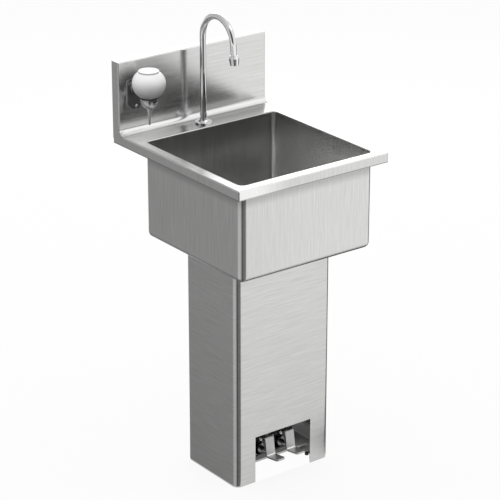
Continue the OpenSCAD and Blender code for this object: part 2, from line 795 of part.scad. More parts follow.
module pedal(x) color("whitesmoke")
    translate([x * pedal_pitch / 2, hinge_y, hinge_h]) rotate([-pedal_tilt, 0, 0]) {
        low = -pedal_drop - pedal_t;
        tread_back = -pedal_reach + pedal_t - pedal_bend_r;
        tread_front = -pedal_reach - tread_l;
        difference() {
            union() {
                along_x(pedal_w) pedal_side();
                for (s = [-1, 1]) translate([s * (pedal_w - gusset_t) / 2, 0, 0]) along_x(gusset_t) gusset_side();
            }
            rotate([0, 90, 0]) cylinder(r = pin_r + run_gap, h = 2 * pedal_w, center = true);
        }
        translate([0, 0, low]) linear_extrude(pedal_t) polygon([[-pedal_w / 2, tread_back],
            [-pedal_w / 2, tread_front + tread_cut], [-pedal_w / 2 + tread_cut, tread_front],
            [pedal_w / 2 - tread_cut, tread_front], [pedal_w / 2, tread_front + tread_cut],
            [pedal_w / 2, tread_back]]);
    }
module hot_pedal() pedal(-1);
module cold_pedal() pedal(1);

module hinge_pins() color("silver") at_pedals() translate([0, hinge_y, hinge_h]) rotate([0, 90, 0]) {
    cylinder(r = pin_r, h = 2 * pin_half, center = true);
    for (s = [0, 180]) rotate([s, 0, 0]) translate([0, 0, pin_half]) scale([1, 1, pin_head_h / pin_head_r])
        intersection() {
            sphere(pin_head_r);
            cylinder(r = pin_head_r, h = pin_head_r);
        }
}

module inlet(x) color("silver")
    translate([x * pedal_pitch / 2, inlet_y, stem_z]) rotate([-90, 0, 0]) difference() {
        union() {
            cylinder(r = inlet_hex_r, h = inlet_hex_l, $fn = 6);
            cylinder(r = inlet_r, h = inlet_hex_l + inlet_l);
        }
        translate([0, 0, -over]) cylinder(r = inlet_bore, h = inlet_hex_l + inlet_l + 2 * over);
    }
module hot_inlet() inlet(-1);
module cold_inlet() inlet(1);

// Riser: from the valve up the pedestal, back under the bowl and up to the spout
riser_start = [0, valve_y, riser_foot - riser_socket];
riser_end = [0, spout_y, shank_end + riser_socket];
riser_route = [riser_start, [0, valve_y, riser_turn_z], [riser_x, valve_y, riser_turn_z],
    [riser_x, valve_y, riser_high], [riser_x, spout_y, riser_high],
    [riser_x, spout_y, riser_back_z], [0, spout_y, riser_back_z], riser_end];

module riser_tube() color("peru") bent_tube(riser_route, riser_bend, riser_r, riser_wall);

module riser_lower_nut() color("silver") translate([0, valve_y, riser_foot])
    hex_nut(riser_nut_r, riser_nut_h, riser_r + gap / 2);

module riser_upper_nut() color("silver") translate([0, spout_y, shank_end - riser_nut_h])
    hex_nut(riser_nut_r, riser_nut_h, riser_r + gap / 2);

module riser_grommet() color("black")
    translate([riser_x, shell_back, riser_high]) rotate([-90, 0, 0]) difference() {
        union() {
            translate([0, 0, sheet_t]) cylinder(r = grommet_r + grommet_lip, h = grommet_lip);
            cylinder(r = grommet_r, h = sheet_t + grommet_lip);
        }
        translate([0, 0, -over]) cylinder(r = riser_r + gap / 2, h = sheet_t + grommet_lip + 2 * over);
    }

// Spout: shank through the deck, flange and sleeve above, swivelling gooseneck and aerator
module spout_shank() color("darkgray") translate([0, spout_y, shank_end]) difference() {
    cylinder(r = shank_r, h = shank_l - gap);
    translate([0, 0, shank_l - swivel_l]) cylinder(r = spout_tube_r + run_gap, h = swivel_l + over);
    translate([0, 0, -over]) cylinder(r = riser_r + gap, h = riser_socket + over);
    cylinder(r = riser_r - riser_wall, h = shank_l);
}

module deck_washer() color("black") translate([0, spout_y, deck_h - sheet_t - washer_t]) difference() {
    cylinder(r = washer_r, h = washer_t);
    translate([0, 0, -over]) cylinder(r = shank_r + gap / 2, h = washer_t + 2 * over);
}

module shank_locknut() color("goldenrod") translate([0, spout_y, deck_h - sheet_t - washer_t - locknut_h])
    hex_nut(locknut_r, locknut_h, shank_r + gap / 2);

module spout_flange() color("aliceblue") translate([0, spout_y, deck_h]) rotate_extrude() {
    bore = spout_tube_r + gap;
    fillet = min(bell_h - flange_edge, flange_r - bell_r) - over / 2;
    difference() {
        union() {
            translate([bore, 0]) square([flange_r - bore - over / 2, flange_edge + over / 2]);
            translate([bore, 0]) square([flange_r - bore, flange_edge]);
            translate([flange_r - over / 2, flange_edge]) circle(over / 2);
            translate([bore, 0]) square([bell_r + fillet - bore, bell_h + over / 2]);
        }
        translate([bell_r + fillet, flange_edge + over / 2 + fillet]) circle(fillet);
        translate([bell_r, flange_edge + over / 2 + fillet]) square([2 * fillet, bell_h]);
        translate([bell_r + fillet, flange_edge + over / 2]) square([fillet, bell_h]);
    }
    translate([bore, 0]) square([sleeve_r - bore, sleeve_h - ring_h]);
}

module spout_collar() color("aliceblue") translate([0, spout_y, deck_h + sleeve_h - ring_h]) difference() {
    cylinder(r = sleeve_r + gap, h = ring_h);
    translate([0, 0, -over]) cylinder(r = spout_tube_r + run_gap, h = ring_h + 2 * over);
}

// The gooseneck's middle line lies in the plane x = 0; this frame has its bend in the x-y plane
module in_neck_plane() {
    translate([0, spout_y - neck_r, deck_h + neck_rise]) rotate([90, 0, 90]) children();
}
module at_neck_end(l) {
    in_neck_plane() rotate(neck_turn) translate([neck_r, l, 0]) rotate([-90, 0, 0]) children();
}

module gooseneck() color("aliceblue") {
    low = deck_h - swivel_l + gap;
    in_neck_plane() {
        translate([neck_r, low - deck_h - neck_rise, 0]) rotate([-90, 0, 0])
            linear_extrude(deck_h + neck_rise - low) tube_section(spout_tube_r, spout_wall);
        rotate_extrude(angle = neck_turn) translate([neck_r, 0]) tube_section(spout_tube_r, spout_wall);
    }
    // the straight end is a hair thinner than the bend, and starts just inside it
    at_neck_end(-seam_lap) linear_extrude(neck_end + seam_lap)
        tube_section(spout_tube_r - seam, spout_wall - 2 * seam);
}

module aerator_shell() color("aliceblue") at_neck_end(neck_end - aerator_lap) rotate_extrude() difference() {
    polygon([[spout_tube_r, 0], [spout_tube_r + sheet_t, 0], [aerator_r, aerator_shoulder],
        [aerator_r, aerator_shoulder + over / 2], [aerator_end_r, aerator_h], [spout_tube_r, aerator_h]]);
    translate([0, aerator_h - screen_t - screen_in]) square([aerator_end_r - screen_in, aerator_h]);
}

module aerator_screen() color("dimgray")
    at_neck_end(neck_end - aerator_lap + aerator_h - screen_t - screen_in) difference() {
        cylinder(r = aerator_end_r - screen_in, h = screen_t);
        for (i = [1:screen_holes]) rotate(360 * i / screen_holes)
            translate([aerator_end_r * screen_ring_share, 0, -over])
                cylinder(r = screen_hole_r, h = screen_t + 2 * over);
        translate([0, 0, -over]) cylinder(r = screen_hole_r, h = screen_t + 2 * over);
    }

// Drain: flanged body through the bowl, grid, gasket, lock nut, tailpiece and trap
dish_z = bowl_z - dish_drop;
module drain_body() color("silver") translate([0, bowl_y, 0]) difference() {
    union() {
        translate([0, 0, dish_z + sheet_t]) cylinder(r = drain_flange_r, h = drain_flange_t);
        translate([0, 0, drain_end]) cylinder(r = drain_r, h = drain_l + sheet_t);
    }
    translate([0, 0, dish_z + sheet_t + drain_flange_t - grid_t]) cylinder(r = grid_r, h = grid_t + over);
    translate([0, 0, drain_end + tail_in]) cylinder(r = drain_r - drain_wall, h = drain_l + over);
    translate([0, 0, drain_end - over]) cylinder(r = waste_r + gap / 2, h = drain_l);
}

module drain_grid() color("gray")
    translate([0, bowl_y, dish_z + sheet_t + drain_flange_t - grid_t]) difference() {
        cylinder(r = grid_r - gap, h = grid_t);
        translate([0, 0, -over]) cylinder(r = grid_hole_r, h = grid_t + 2 * over);
        for (ring = [1:grid_rings], i = [1:grid_first * ring]) rotate(360 * i / (grid_first * ring))
            translate([grid_pitch * ring, 0, -over]) cylinder(r = grid_hole_r, h = grid_t + 2 * over);
    }

module drain_gasket() color("black") translate([0, bowl_y, dish_z - drain_gasket_t]) difference() {
    cylinder(r = drain_nut_r, h = drain_gasket_t);
    translate([0, 0, -over]) cylinder(r = drain_r + gap / 2, h = drain_gasket_t + 2 * over);
}

module drain_locknut() color("goldenrod") translate([0, bowl_y, dish_z - drain_gasket_t - drain_nut_h])
    hex_nut(drain_nut_r, drain_nut_h, drain_r + gap / 2);

module tailpiece() color("silver") translate([0, bowl_y, trap_top - trap_lap])
    linear_extrude(drain_end + tail_in - trap_top + trap_lap) tube_section(waste_r, waste_wall);

module tailpiece_nut() color("silver") translate([0, bowl_y, drain_end - tail_nut_h / 2]) difference() {
    cylinder(r = tail_nut_r, h = tail_nut_h);
    translate([0, 0, tail_nut_h / 2]) cylinder(r = drain_r + gap / 2, h = tail_nut_h);
    translate([0, 0, -over]) cylinder(r = waste_r + gap / 2, h = tail_nut_h);
}

module trap_bend() color("silver") {
    for (x = [0, 1]) translate([x * trap_w, bowl_y, trap_bottom])
        linear_extrude(trap_drop) tube_section(trap_r, trap_wall);
    translate([trap_w / 2, bowl_y, trap_bottom]) rotate([-90, 0, 0]) rotate_extrude(angle = 180)
        translate([trap_w / 2, 0]) tube_section(trap_r, trap_wall);
}

module trap_nut(x) color("silver") translate([x, bowl_y, trap_top - trap_nut_h / 2]) difference() {
    cylinder(r = trap_nut_r, h = trap_nut_h);
    translate([0, 0, -over]) cylinder(r = trap_r + gap / 2, h = trap_nut_h / 2 + over);
    translate([0, 0, -over]) cylinder(r = waste_r + gap / 2, h = trap_nut_h + 2 * over);
}
module trap_inlet_nut() trap_nut(0);
module trap_outlet_nut() trap_nut(trap_w);

arm_end = ped_back + arm_out;
module waste_arm() color("silver") {
    bent_tube([[trap_w, bowl_y, trap_top - trap_lap], [trap_w, bowl_y, arm_h],
        [trap_w, arm_end - arm_sized + seam_lap, arm_h]], arm_bend - gap, waste_r - arm_step, waste_wall);
    // the outer end is a step wider, sized for the coupling at the wall
    translate([trap_w, arm_end - arm_sized, arm_h]) rotate([-90, 0, 0])
        linear_extrude(arm_sized) tube_section(waste_r, waste_wall);
}

module waste_escutcheon() color("aliceblue") translate([trap_w, ped_back, arm_h]) rotate([-90, 0, 0])
    rotate_extrude() {
        translate([escutcheon_r - escutcheon_h, 0]) quarter_ring(escutcheon_h, escutcheon_h - sheet_t);
        translate([waste_r + gap, escutcheon_h - sheet_t])
            square([escutcheon_r - escutcheon_h - waste_r - gap, sheet_t]);
    }

// Soap dispenser: plate, arm, globe and push-up valve
plate_z = soap_z - plate_drop;
module plate_screw_places() {
    for (p = [[-plate_screw_x, plate_screw_up], [plate_screw_x, plate_screw_up], [0, -plate_screw_down]])
        translate([-soap_x + p[0], face_y - plate_t, plate_z + p[1]]) rotate([90, 0, 0]) children();
}

module plate_outline(inset) {
    w = plate_w / 2 - inset;
    h = plate_h / 2 - inset;
    c = plate_cut;
    polygon([[-w, -h + c], [-w + c, -h], [w - c, -h], [w, -h + c], [w, h - c / 2], [w - c / 2, h],
        [-w + c / 2, h], [-w, h - c / 2]]);
}

module dispenser_plate() color("black") difference() {
    union() {
        translate([-soap_x, face_y, plate_z]) rotate([90, 0, 0])
            linear_extrude(plate_t - plate_edge) plate_outline(0);
        translate([-soap_x, face_y, plate_z]) rotate([90, 0, 0])
            linear_extrude(plate_t) plate_outline(plate_edge);
    }
    plate_screw_places() translate([0, 0, -plate_t - over])
        cylinder(r = screw_r + gap / 2, h = plate_t + 2 * over);
}

module dispenser_screws() color("lightgray") plate_screw_places() screw(plate_t + sheet_t + over);

arm_z = ring_z - gasket_t - arm_ring_t / 2;
module dispenser_arm() color("black") translate([-soap_x, 0, 0]) {
    root_z = soap_z - arm_root_drop;
    turn_y = face_y - plate_t - arm_boss_t - arm_turn;
    translate([0, face_y - plate_t, root_z]) rotate([90, 0, 0]) cylinder(r = arm_boss_r, h = arm_boss_t);
    difference() {
        union() {
            bent_tube([[0, face_y - plate_t - arm_boss_t, root_z], [0, turn_y, root_z], [0, turn_y, arm_z],
                [0, soap_y + arm_ring_r - arm_turn / 2, arm_z]], arm_turn - gap, arm_r, arm_r);
            translate([0, soap_y, arm_z - arm_ring_t / 2]) cylinder(r = arm_ring_r, h = arm_ring_t);
        }
        translate([0, soap_y, arm_z - arm_ring_t]) cylinder(r = neck_hole_r, h = 2 * arm_ring_t);
        translate([0, soap_y, arm_z + arm_ring_t / 2]) cylinder(r = gasket_r + gap, h = 2 * arm_r);
        translate([0, soap_y, soap_z]) sphere(globe_r + gap);
        translate([0, soap_y, arm_z - arm_ring_t / 2 - 2 * arm_r])
            cylinder(r = bell_top_r + gap, h = 2 * arm_r);
    }
}

module globe_gasket() color("black") translate([-soap_x, soap_y, ring_z - gasket_t]) difference() {
    cylinder(r = gasket_r, h = gasket_t);
    translate([0, 0, -over]) cylinder(r = neck_hole_r, h = gasket_t + 2 * over);
}

module soap_globe() color("white") translate([-soap_x, soap_y, soap_z]) rotate_extrude() {
    seat = cap_top - cap_h - gap;
    difference() {
        intersection() {
            circle(globe_r);
            translate([0, -ring_drop]) square([globe_r, ring_drop + seat]);
        }
        intersection() {
            circle(globe_r - globe_wall);
            translate([0, globe_wall - ring_drop]) square([globe_r, ring_drop + seat - 2 * globe_wall]);
        }
        translate([-over, -globe_r]) square([neck_hole_r + over, globe_r]);
        translate([-over, 0]) square([cap_r - cap_inset + over, globe_r]);
    }
}

module filler_cap() color("white") translate([-soap_x, soap_y, soap_z + cap_top]) rotate_extrude() {
    edge = cap_h / 4;
    translate([0, -cap_h]) square([cap_r, cap_h - edge]);
    translate([0, -cap_h]) square([cap_r - edge, cap_h]);
    translate([cap_r - edge, -edge]) circle(edge);
    translate([cap_r - cap_inset - gap - edge, -cap_h - cap_plug]) square([edge, cap_plug + edge]);
}

// The valve hangs from the arm's ring by a stud that ends inside the globe
module soap_valve_bell() color("aliceblue")
    translate([-soap_x, soap_y, bell_z]) rotate_extrude() difference() {
        union() {
            intersection() {
                translate([0, -bell_tall]) square([bell_top_r, bell_tall]);
                union() {
                    translate([0, -over / 2]) circle(bell_top_r);
                    translate([0, -bell_tall]) square([bell_end_r, bell_tall]);
                }
            }
            translate([0, -over / 2])
                square([stud_r, arm_ring_t + gasket_t + globe_wall + stud_t + over / 2]);
        }
        translate([-over, -bell_tall - over]) square([plunger_r + run_gap + over, plunger_bore + over]);
        translate([-over, -bell_tall]) square([tip_r + over, 2 * bell_tall]);
    }

module soap_plunger() color("aliceblue") translate([-soap_x, soap_y, bell_foot]) {
    cylinder(r = plunger_r, h = plunger_hold);
    translate([0, 0, -cone_l]) cylinder(r1 = tip_r, r2 = plunger_r, h = cone_l);
    translate([0, 0, -cone_l - tip_l]) cylinder(r = tip_r, h = tip_l);
}

module plunger_spring() color("lightgray") translate([-soap_x, soap_y, bell_foot + plunger_hold + gap])
    coil(soap_spring_r, soap_spring_wire, plunger_bore - plunger_hold - 2 * gap, soap_spring_turns);

deck_and_splash();
bowl();
pedestal_shell();
rear_access_panel();
rear_panel_screws();
floor_clips();
valve_shelf();
shelf_feet();
shelf_screws();
valve_body();
valve_bolts();
hot_bonnet();
cold_bonnet();
hot_stem();
cold_stem();
hot_return_spring();
cold_return_spring();
hot_pedal();
cold_pedal();
hinge_pins();
hot_inlet();
cold_inlet();
riser_tube();
riser_lower_nut();
riser_upper_nut();
riser_grommet();
spout_shank();
deck_washer();
shank_locknut();
spout_flange();
spout_collar();
gooseneck();
aerator_shell();
aerator_screen();
drain_body();
drain_grid();
drain_gasket();
drain_locknut();
tailpiece();
tailpiece_nut();
trap_bend();
trap_inlet_nut();
trap_outlet_nut();
waste_arm();
waste_escutcheon();
dispenser_plate();
dispenser_screws();
dispenser_arm();
globe_gasket();
soap_globe();
filler_cap();
soap_valve_bell();
soap_plunger();
plunger_spring();
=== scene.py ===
# %% [markdown]
# # A stainless steel hand wash sink, dressed for its portrait
#
# The sink stands on a folded sheet pedestal. Its deck carries a deep bowl, a boxed splash, a
# gooseneck spout and a soap globe, and two foot pedals look out of the toe opening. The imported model
# gives the real sizes. This lesson gives it its finishes, its soap globe, its springs and its studio.
#
# Everything is in metres. The user stands on the -Y side, and Z is up.

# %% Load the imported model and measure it
import json
import math
import bpy
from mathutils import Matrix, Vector


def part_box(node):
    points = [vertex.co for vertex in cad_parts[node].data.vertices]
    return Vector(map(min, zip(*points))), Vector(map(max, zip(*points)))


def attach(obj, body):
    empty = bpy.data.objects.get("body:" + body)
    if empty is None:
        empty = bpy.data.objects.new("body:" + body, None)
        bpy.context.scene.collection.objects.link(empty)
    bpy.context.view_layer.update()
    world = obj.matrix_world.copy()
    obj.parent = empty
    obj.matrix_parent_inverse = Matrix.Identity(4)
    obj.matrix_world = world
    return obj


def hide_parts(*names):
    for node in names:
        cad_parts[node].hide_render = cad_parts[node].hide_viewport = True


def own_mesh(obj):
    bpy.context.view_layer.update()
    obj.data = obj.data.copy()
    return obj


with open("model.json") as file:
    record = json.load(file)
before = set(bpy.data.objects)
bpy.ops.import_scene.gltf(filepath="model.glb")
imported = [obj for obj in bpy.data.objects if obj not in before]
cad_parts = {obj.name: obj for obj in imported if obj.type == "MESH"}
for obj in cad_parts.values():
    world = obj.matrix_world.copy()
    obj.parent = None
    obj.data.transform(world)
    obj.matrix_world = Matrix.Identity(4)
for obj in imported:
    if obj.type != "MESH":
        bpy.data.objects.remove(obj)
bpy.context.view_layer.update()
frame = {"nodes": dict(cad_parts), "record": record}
nodes = frame["nodes"]

# %% [markdown]
# ## The camera
#
# The photograph is a long-lens product view from the front left and above. A pinhole camera was
# fitted to the straight edges of the rim, bowl, pedestal and splash, and it gives the place, the aim
# and the lens.

# %% Place the camera
CAMERA_PLACE = Vector((-3.1186, -4.1566, 2.6806))
CAMERA_TARGET = Vector((-0.0164, -0.0255, 0.5872))
SENSOR_MM = 36.0
FOCAL_PX = 2203.6
PHOTO_PX = 500
FARTHEST_SEEN = 60

scene = bpy.context.scene
camera_data = bpy.data.cameras.new("camera")
camera_data.sensor_width = SENSOR_MM
camera_data.lens = FOCAL_PX / PHOTO_PX * SENSOR_MM
camera_data.clip_end = FARTHEST_SEEN
camera = bpy.data.objects.new("camera", camera_data)
scene.collection.objects.link(camera)
camera.location = CAMERA_PLACE
camera.rotation_euler = (CAMERA_TARGET - CAMERA_PLACE).to_track_quat("-Z", "Y").to_euler()
scene.camera = camera
scene.view_settings.view_transform = "Standard"
print("lens:", round(camera_data.lens, 2), "mm")

# %% [markdown]
# ## Small helpers for node trees
#
# Every finish below is a recipe of simple steps, and a node tree holds its steps. These helpers keep
# the recipes readable. They add a node, fill its sockets with a constant or another node's result, and
# do sums with numbers, colours and directions.

# %% Helpers: add nodes and do sums
def fill(tree, socket, value):
    """Links a socket to another one, or sets a constant on it."""
    if isinstance(value, bpy.types.NodeSocket):
        tree.links.new(value, socket)
    else:
        socket.default_value = value


def add(tree, kind, settings=None, **inputs):
    """Adds a node. settings are attributes; inputs are socket names with spaces as underscores."""
    node = tree.nodes.new(kind)
    for key, value in (settings or {}).items():
        setattr(node, key, value)
    for key, value in inputs.items():
        fill(tree, node.inputs[key.replace("_", " ")], value)
    return node


def math_node(tree, operation, a, b=0.0, clamp=False):
    """One step of arithmetic with two numbers or sockets."""
    node = add(tree, "ShaderNodeMath", {"operation": operation, "use_clamp": clamp})
    fill(tree, node.inputs[0], a)
    fill(tree, node.inputs[1], b)
    return node.outputs[0]


def plus(tree, a, b):
    return math_node(tree, "ADD", a, b)


def minus(tree, a, b):
    return math_node(tree, "SUBTRACT", a, b)


def times(tree, a, b):
    return math_node(tree, "MULTIPLY", a, b)


def size_of(tree, a):
    """The number without its sign."""
    return math_node(tree, "ABSOLUTE", a)


def dot(tree, a, b):
    """How far two directions agree."""
    node = add(tree, "ShaderNodeVectorMath", {"operation": "DOT_PRODUCT"}, Vector=a)
    fill(tree, node.inputs[1], b)
    return node.outputs["Value"]


def scaled(tree, vector, factor):
    """A colour or a place, times one number."""
    node = add(tree, "ShaderNodeVectorMath", {"operation": "SCALE"}, Scale=factor)
    fill(tree, node.inputs[0], vector)
    return node.outputs[0]


print("helpers:", [f.__name__ for f in (fill, add, math_node, plus, minus, times, size_of, dot, scaled)])

# %% [markdown]
# ## Helpers for places, ranges and materials
#
# A finish changes from place to place on the real sheet: more wear here, less polish there. So these
# helpers take a place apart, run a value softly over a range, fill a colour ramp and make a material
# with one Principled shader.

# %% Helpers: split, run over a range, make a material
def split(tree, vector):
    """The X, Y and Z of a vector."""
    return tuple(add(tree, "ShaderNodeSeparateXYZ", Vector=vector).outputs)


def map_range(tree, value, start, end, first, last, kind="SMOOTHSTEP"):
    """Runs from first to last while value runs from start to end."""
    return add(tree, "ShaderNodeMapRange", {"interpolation_type": kind}, Value=value,
               From_Min=start, From_Max=end, To_Min=first, To_Max=last).outputs[0]


def set_stops(ramp, stops):
    """Fills a colour ramp; each stop is a place from 0 to 1 and a colour with its cover."""
    marks = ramp.color_ramp.elements
    while len(marks) < len(stops):
        marks.new(0.5)
    for mark, (place, colour) in zip(marks, stops):
        mark.position = place
        mark.color = colour


def grey(value, cover=1.0):
    return (value, value, value, cover)


def new_material(name, **constants):
    """A material with one Principled shader, whose constants are set on its own sockets."""
    material = bpy.data.materials.new(name)
    material.use_nodes = True
    tree = material.node_tree
    shader = tree.nodes["Principled BSDF"]
    for key, value in constants.items():
        shader.inputs[key.replace("_", " ")].default_value = value
    return material, tree, shader


print("helpers:", [f.__name__ for f in (split, map_range, set_stops, grey, new_material)])

# %% [markdown]
# ## Brushed grain as a shared node group
#
# A polishing belt leaves thousands of fine parallel scratches. Seen from a step away they merge into
# faint streaks along the belt's direction. The group mixes coarse streaks, which the eye can follow,
# with finer ones. It gives a tone, a roughness and a height, and every steel below shares it.

# %% Build the brushed grain group
FINE_TO_COARSE = 6.0
FINE_SHARE = 0.5


def new_group(name, inputs, outputs):
    """An empty node group with the given sockets."""
    group = bpy.data.node_groups.new(name, "ShaderNodeTree")
    for socket_name, kind, default in inputs:
        socket = group.interface.new_socket(socket_name, in_out="INPUT", socket_type=kind)
        if default is not None:
            socket.default_value = default
    for socket_name, kind in outputs:
        group.interface.new_socket(socket_name, in_out="OUTPUT", socket_type=kind)
    return group, group.nodes.new("NodeGroupInput"), group.nodes.new("NodeGroupOutput")


def build_grain_group():
    """Coarse and fine noise, mixed; the place that comes in is already stretched along the grain."""
    group, ins, outs = new_group(
        "brushed_grain",
        [("Vector", "NodeSocketVector", None), ("Streaks", "NodeSocketFloat", 0.1)],
        [("Tone", "NodeSocketFloat"), ("Rough", "NodeSocketFloat"), ("Height", "NodeSocketFloat")])
    coarse = add(group, "ShaderNodeTexNoise", Vector=ins.outputs["Vector"],
                 Scale=1.0, Detail=3.0, Roughness=0.6).outputs[0]
    fine = add(group, "ShaderNodeTexNoise", Vector=scaled(group, ins.outputs["Vector"], FINE_TO_COARSE),
               Scale=1.0, Detail=2.0, Roughness=0.7).outputs[0]
    both = plus(group, minus(group, coarse, 0.5), times(group, minus(group, fine, 0.5), FINE_SHARE))
    tone = plus(group, times(group, both, ins.outputs["Streaks"]), 1.0)
    for socket_name, value in (("Tone", tone), ("Rough", both), ("Height", fine)):
        group.links.new(value, outs.inputs[socket_name])
    return group


grain_group = build_grain_group()
print("group:", grain_group.name, [s.name for s in grain_group.interface.items_tree])

# %% [markdown]
# ## Brushed stainless steel
#
# The real sheets are satin polished before they are folded. The grain runs sideways on the deck,
# splash and pedestal, and up and down on the bowl. Where a face looks straight along the grain, the
# sheet was turned, so a second direction takes over there. The highlight is stretched across the grain
# by anisotropy, with a radial tangent about the grain's axis.

# %% Stainless steel in a chosen grain direction
GRAIN_ALONG = 11.0
GRAIN_ACROSS = 260.0
STEEP = 0.7
ANISOTROPY = 0.6
CLOUD_SCALE = 7.0
CLOUD_DEPTH = 0.05
GRAIN_ROUGHNESS = 0.08
GRAIN_BUMP = {"Distance": 0.00001, "Strength": 0.08}
BLUE_OF_STEEL = 0.992


def grain_layer(tree, place, axis, streaks):
    """The values of a grain that runs along one axis, and the tangent of its highlight."""
    stretch = [GRAIN_ACROSS] * 3
    stretch["XYZ".index(axis)] = GRAIN_ALONG
    stretched = add(tree, "ShaderNodeMapping", Vector=place, Scale=stretch).outputs[0]
    grain = add(tree, "ShaderNodeGroup", {"node_tree": grain_group}, Vector=stretched, Streaks=streaks)
    tangent = add(tree, "ShaderNodeTangent", {"direction_type": "RADIAL", "axis": axis}).outputs[0]
    return {"Tone": grain.outputs["Tone"], "Rough": grain.outputs["Rough"],
            "Height": grain.outputs["Height"], "Tangent": tangent}


def lay_over(tree, under, over, mask):
    """Mixes two grain layers: over shows where mask is 1, and under where it is 0."""
    mixed = {}
    for key in under:
        # A Mix node keeps a pair of inputs and a result for each kind of value.
        kind, first, out = ("VECTOR", 4, 1) if key == "Tangent" else ("FLOAT", 2, 0)
        mix = add(tree, "ShaderNodeMix", {"data_type": kind}, Factor=mask)
        tree.links.new(under[key], mix.inputs[first])
        tree.links.new(over[key], mix.inputs[first + 1])
        mixed[key] = mix.outputs[out]
    return mixed


def brushed_steel(name, main, side, shade_of, tone, streaks, roughness=0.2, metallic=1.0, rim_z=None):
    """Grain along main, and along side on faces whose normal lies along main. Below rim_z, faces
    that look to the front or the side take the grain along Z, as on a turned-down rim."""
    material, tree, shader = new_material(name, Metallic=metallic, Anisotropic=ANISOTROPY)
    coords = add(tree, "ShaderNodeTexCoord")
    place = coords.outputs["Object"]
    normal = split(tree, coords.outputs["Normal"])
    faces_main = math_node(tree, "GREATER_THAN", size_of(tree, normal["XYZ".index(main)]), STEEP)
    grain = lay_over(tree, grain_layer(tree, place, main, streaks),
                     grain_layer(tree, place, side, streaks), faces_main)
    if rim_z is not None:
        low = math_node(tree, "LESS_THAN", split(tree, place)[2], rim_z)
        upright = math_node(tree, "LESS_THAN", size_of(tree, normal[2]), STEEP)
        grain = lay_over(tree, grain, grain_layer(tree, place, "Z", streaks), times(tree, low, upright))
    clouds = add(tree, "ShaderNodeTexNoise", Vector=place, Scale=CLOUD_SCALE, Detail=2.0)
    cloud = minus(tree, clouds.outputs[0], 0.5)
    shade = plus(tree, grain["Tone"], times(tree, cloud, CLOUD_DEPTH))
    shade = times(tree, shade, shade_of(tree, coords))
    colour = scaled(tree, (tone, tone, tone * BLUE_OF_STEEL), shade)
    tree.links.new(colour, shader.inputs["Base Color"])
    rough = plus(tree, times(tree, grain["Rough"], GRAIN_ROUGHNESS), times(tree, cloud, CLOUD_DEPTH))
    tree.links.new(math_node(tree, "ADD", rough, roughness, clamp=True), shader.inputs["Roughness"])
    tree.links.new(grain["Tangent"], shader.inputs["Tangent"])
    bump = add(tree, "ShaderNodeBump", Height=grain["Height"], **GRAIN_BUMP)
    tree.links.new(bump.outputs[0], shader.inputs["Normal"])
    return material


print("grain:", round(GRAIN_ACROSS / GRAIN_ALONG), "times as long as it is wide")

# %% [markdown]
# ## Painted light and shade on the bowl and the deck
#
# The tone carries painted light and shade here. The rim is darker along its lower edge, the gap at
# the rim's corner and the ledge have painted shade, the splash's left end has painted light, and the
# bends that look up and to the front have a painted highlight. The bowl has painted shade under the
# rim and on its underside, and painted light inside on the left. Each function below gives a factor
# for the tone. It changes softly with the place or with the direction of the surface, so each span
# says where the change starts and ends: a place in metres, or one part of the surface's direction,
# which runs from -1 to 1.

# %% Shading of the bowl and the deck
# The bends that look up and to the front get a painted highlight.
BEND_SLANT = (0.8, 0.97)
DECK_BEND_HIGHLIGHT = 1.42
RIM_TURNS_AT = 0.8605


def painted_bend_highlight(tree, coords, gain):
    """A painted highlight: bends that look up and to the front are brighter than the flat sheet."""
    slant = dot(tree, coords.outputs["Normal"], Vector((0, -1, 1)).normalized())
    return map_range(tree, slant, *BEND_SLANT, 1.0, gain)


def bowl_shade(tree, coords):
    """Outside: painted shade under the rim and on the underside. Inside: painted light, brighter on the
    left.
    """
    under_rim_drop, under_rim_shade_dim = (-0.042, -0.014), 0.3
    downward, underside_shade_dim = (-0.05, -0.6), 0.65
    inside_span, inside_left, inside_right = (-0.2, 0.12), 0.32, -0.1
    low, high = (Vector(corner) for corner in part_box("bowl"))
    rim_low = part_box("deck_and_splash")[0][2]
    from_middle = add(tree, "ShaderNodeVectorMath", {"operation": "SUBTRACT"},
                      Vector=coords.outputs["Object"])
    fill(tree, from_middle.inputs[1], (low + high) / 2)
    facing = dot(tree, from_middle.outputs[0], coords.outputs["Normal"])
    outside = math_node(tree, "GREATER_THAN", facing, 0.0)
    x, _, z = split(tree, coords.outputs["Object"])
    up = split(tree, coords.outputs["Normal"])[2]
    under_rim = map_range(tree, z, *(rim_low + drop for drop in under_rim_drop), 0.0, under_rim_shade_dim)
    underside = map_range(tree, up, *downward, 0.0, underside_shade_dim)
    inside_painted_light = map_range(tree, x, *inside_span, inside_left, inside_right, "LINEAR")
    inside = times(tree, inside_painted_light, minus(tree, 1.0, outside))
    shade = minus(tree, minus(tree, 1.0, times(tree, under_rim, outside)), underside)
    return plus(tree, shade, inside)


def painted_rim_gap_shade(tree, place, left, front):
    """Painted shade in the gap where the rim's turned-down front and side meet at a corner."""
    to_corner_span, gap_dim = (-0.0035, -0.002), 0.4
    height_span = (RIM_TURNS_AT + 0.0005, RIM_TURNS_AT + 0.003)
    x, y, z = place
    to_corner = minus(tree, minus(tree, size_of(tree, x), -left), minus(tree, y, front))
    gap = map_range(tree, to_corner, *to_corner_span, 0.0, gap_dim)
    return times(tree, gap, map_range(tree, z, *height_span, 1.0, 0.0))


def painted_ledge_shade(tree, place, up):
    """Painted shade: the ledge behind the bowl is darker than the rest, most at the right."""
    depth_span, level = (0.15, 0.2), (0.9, 0.98)
    width_span, dim_left, dim_right = (-0.12, 0.02), 0.22, 0.42
    x, y, _ = place
    ledge = times(tree, map_range(tree, y, *depth_span, 0.0, 1.0),
                  map_range(tree, x, *width_span, dim_left, dim_right))
    return times(tree, ledge, map_range(tree, up, *level, 0.0, 1.0))


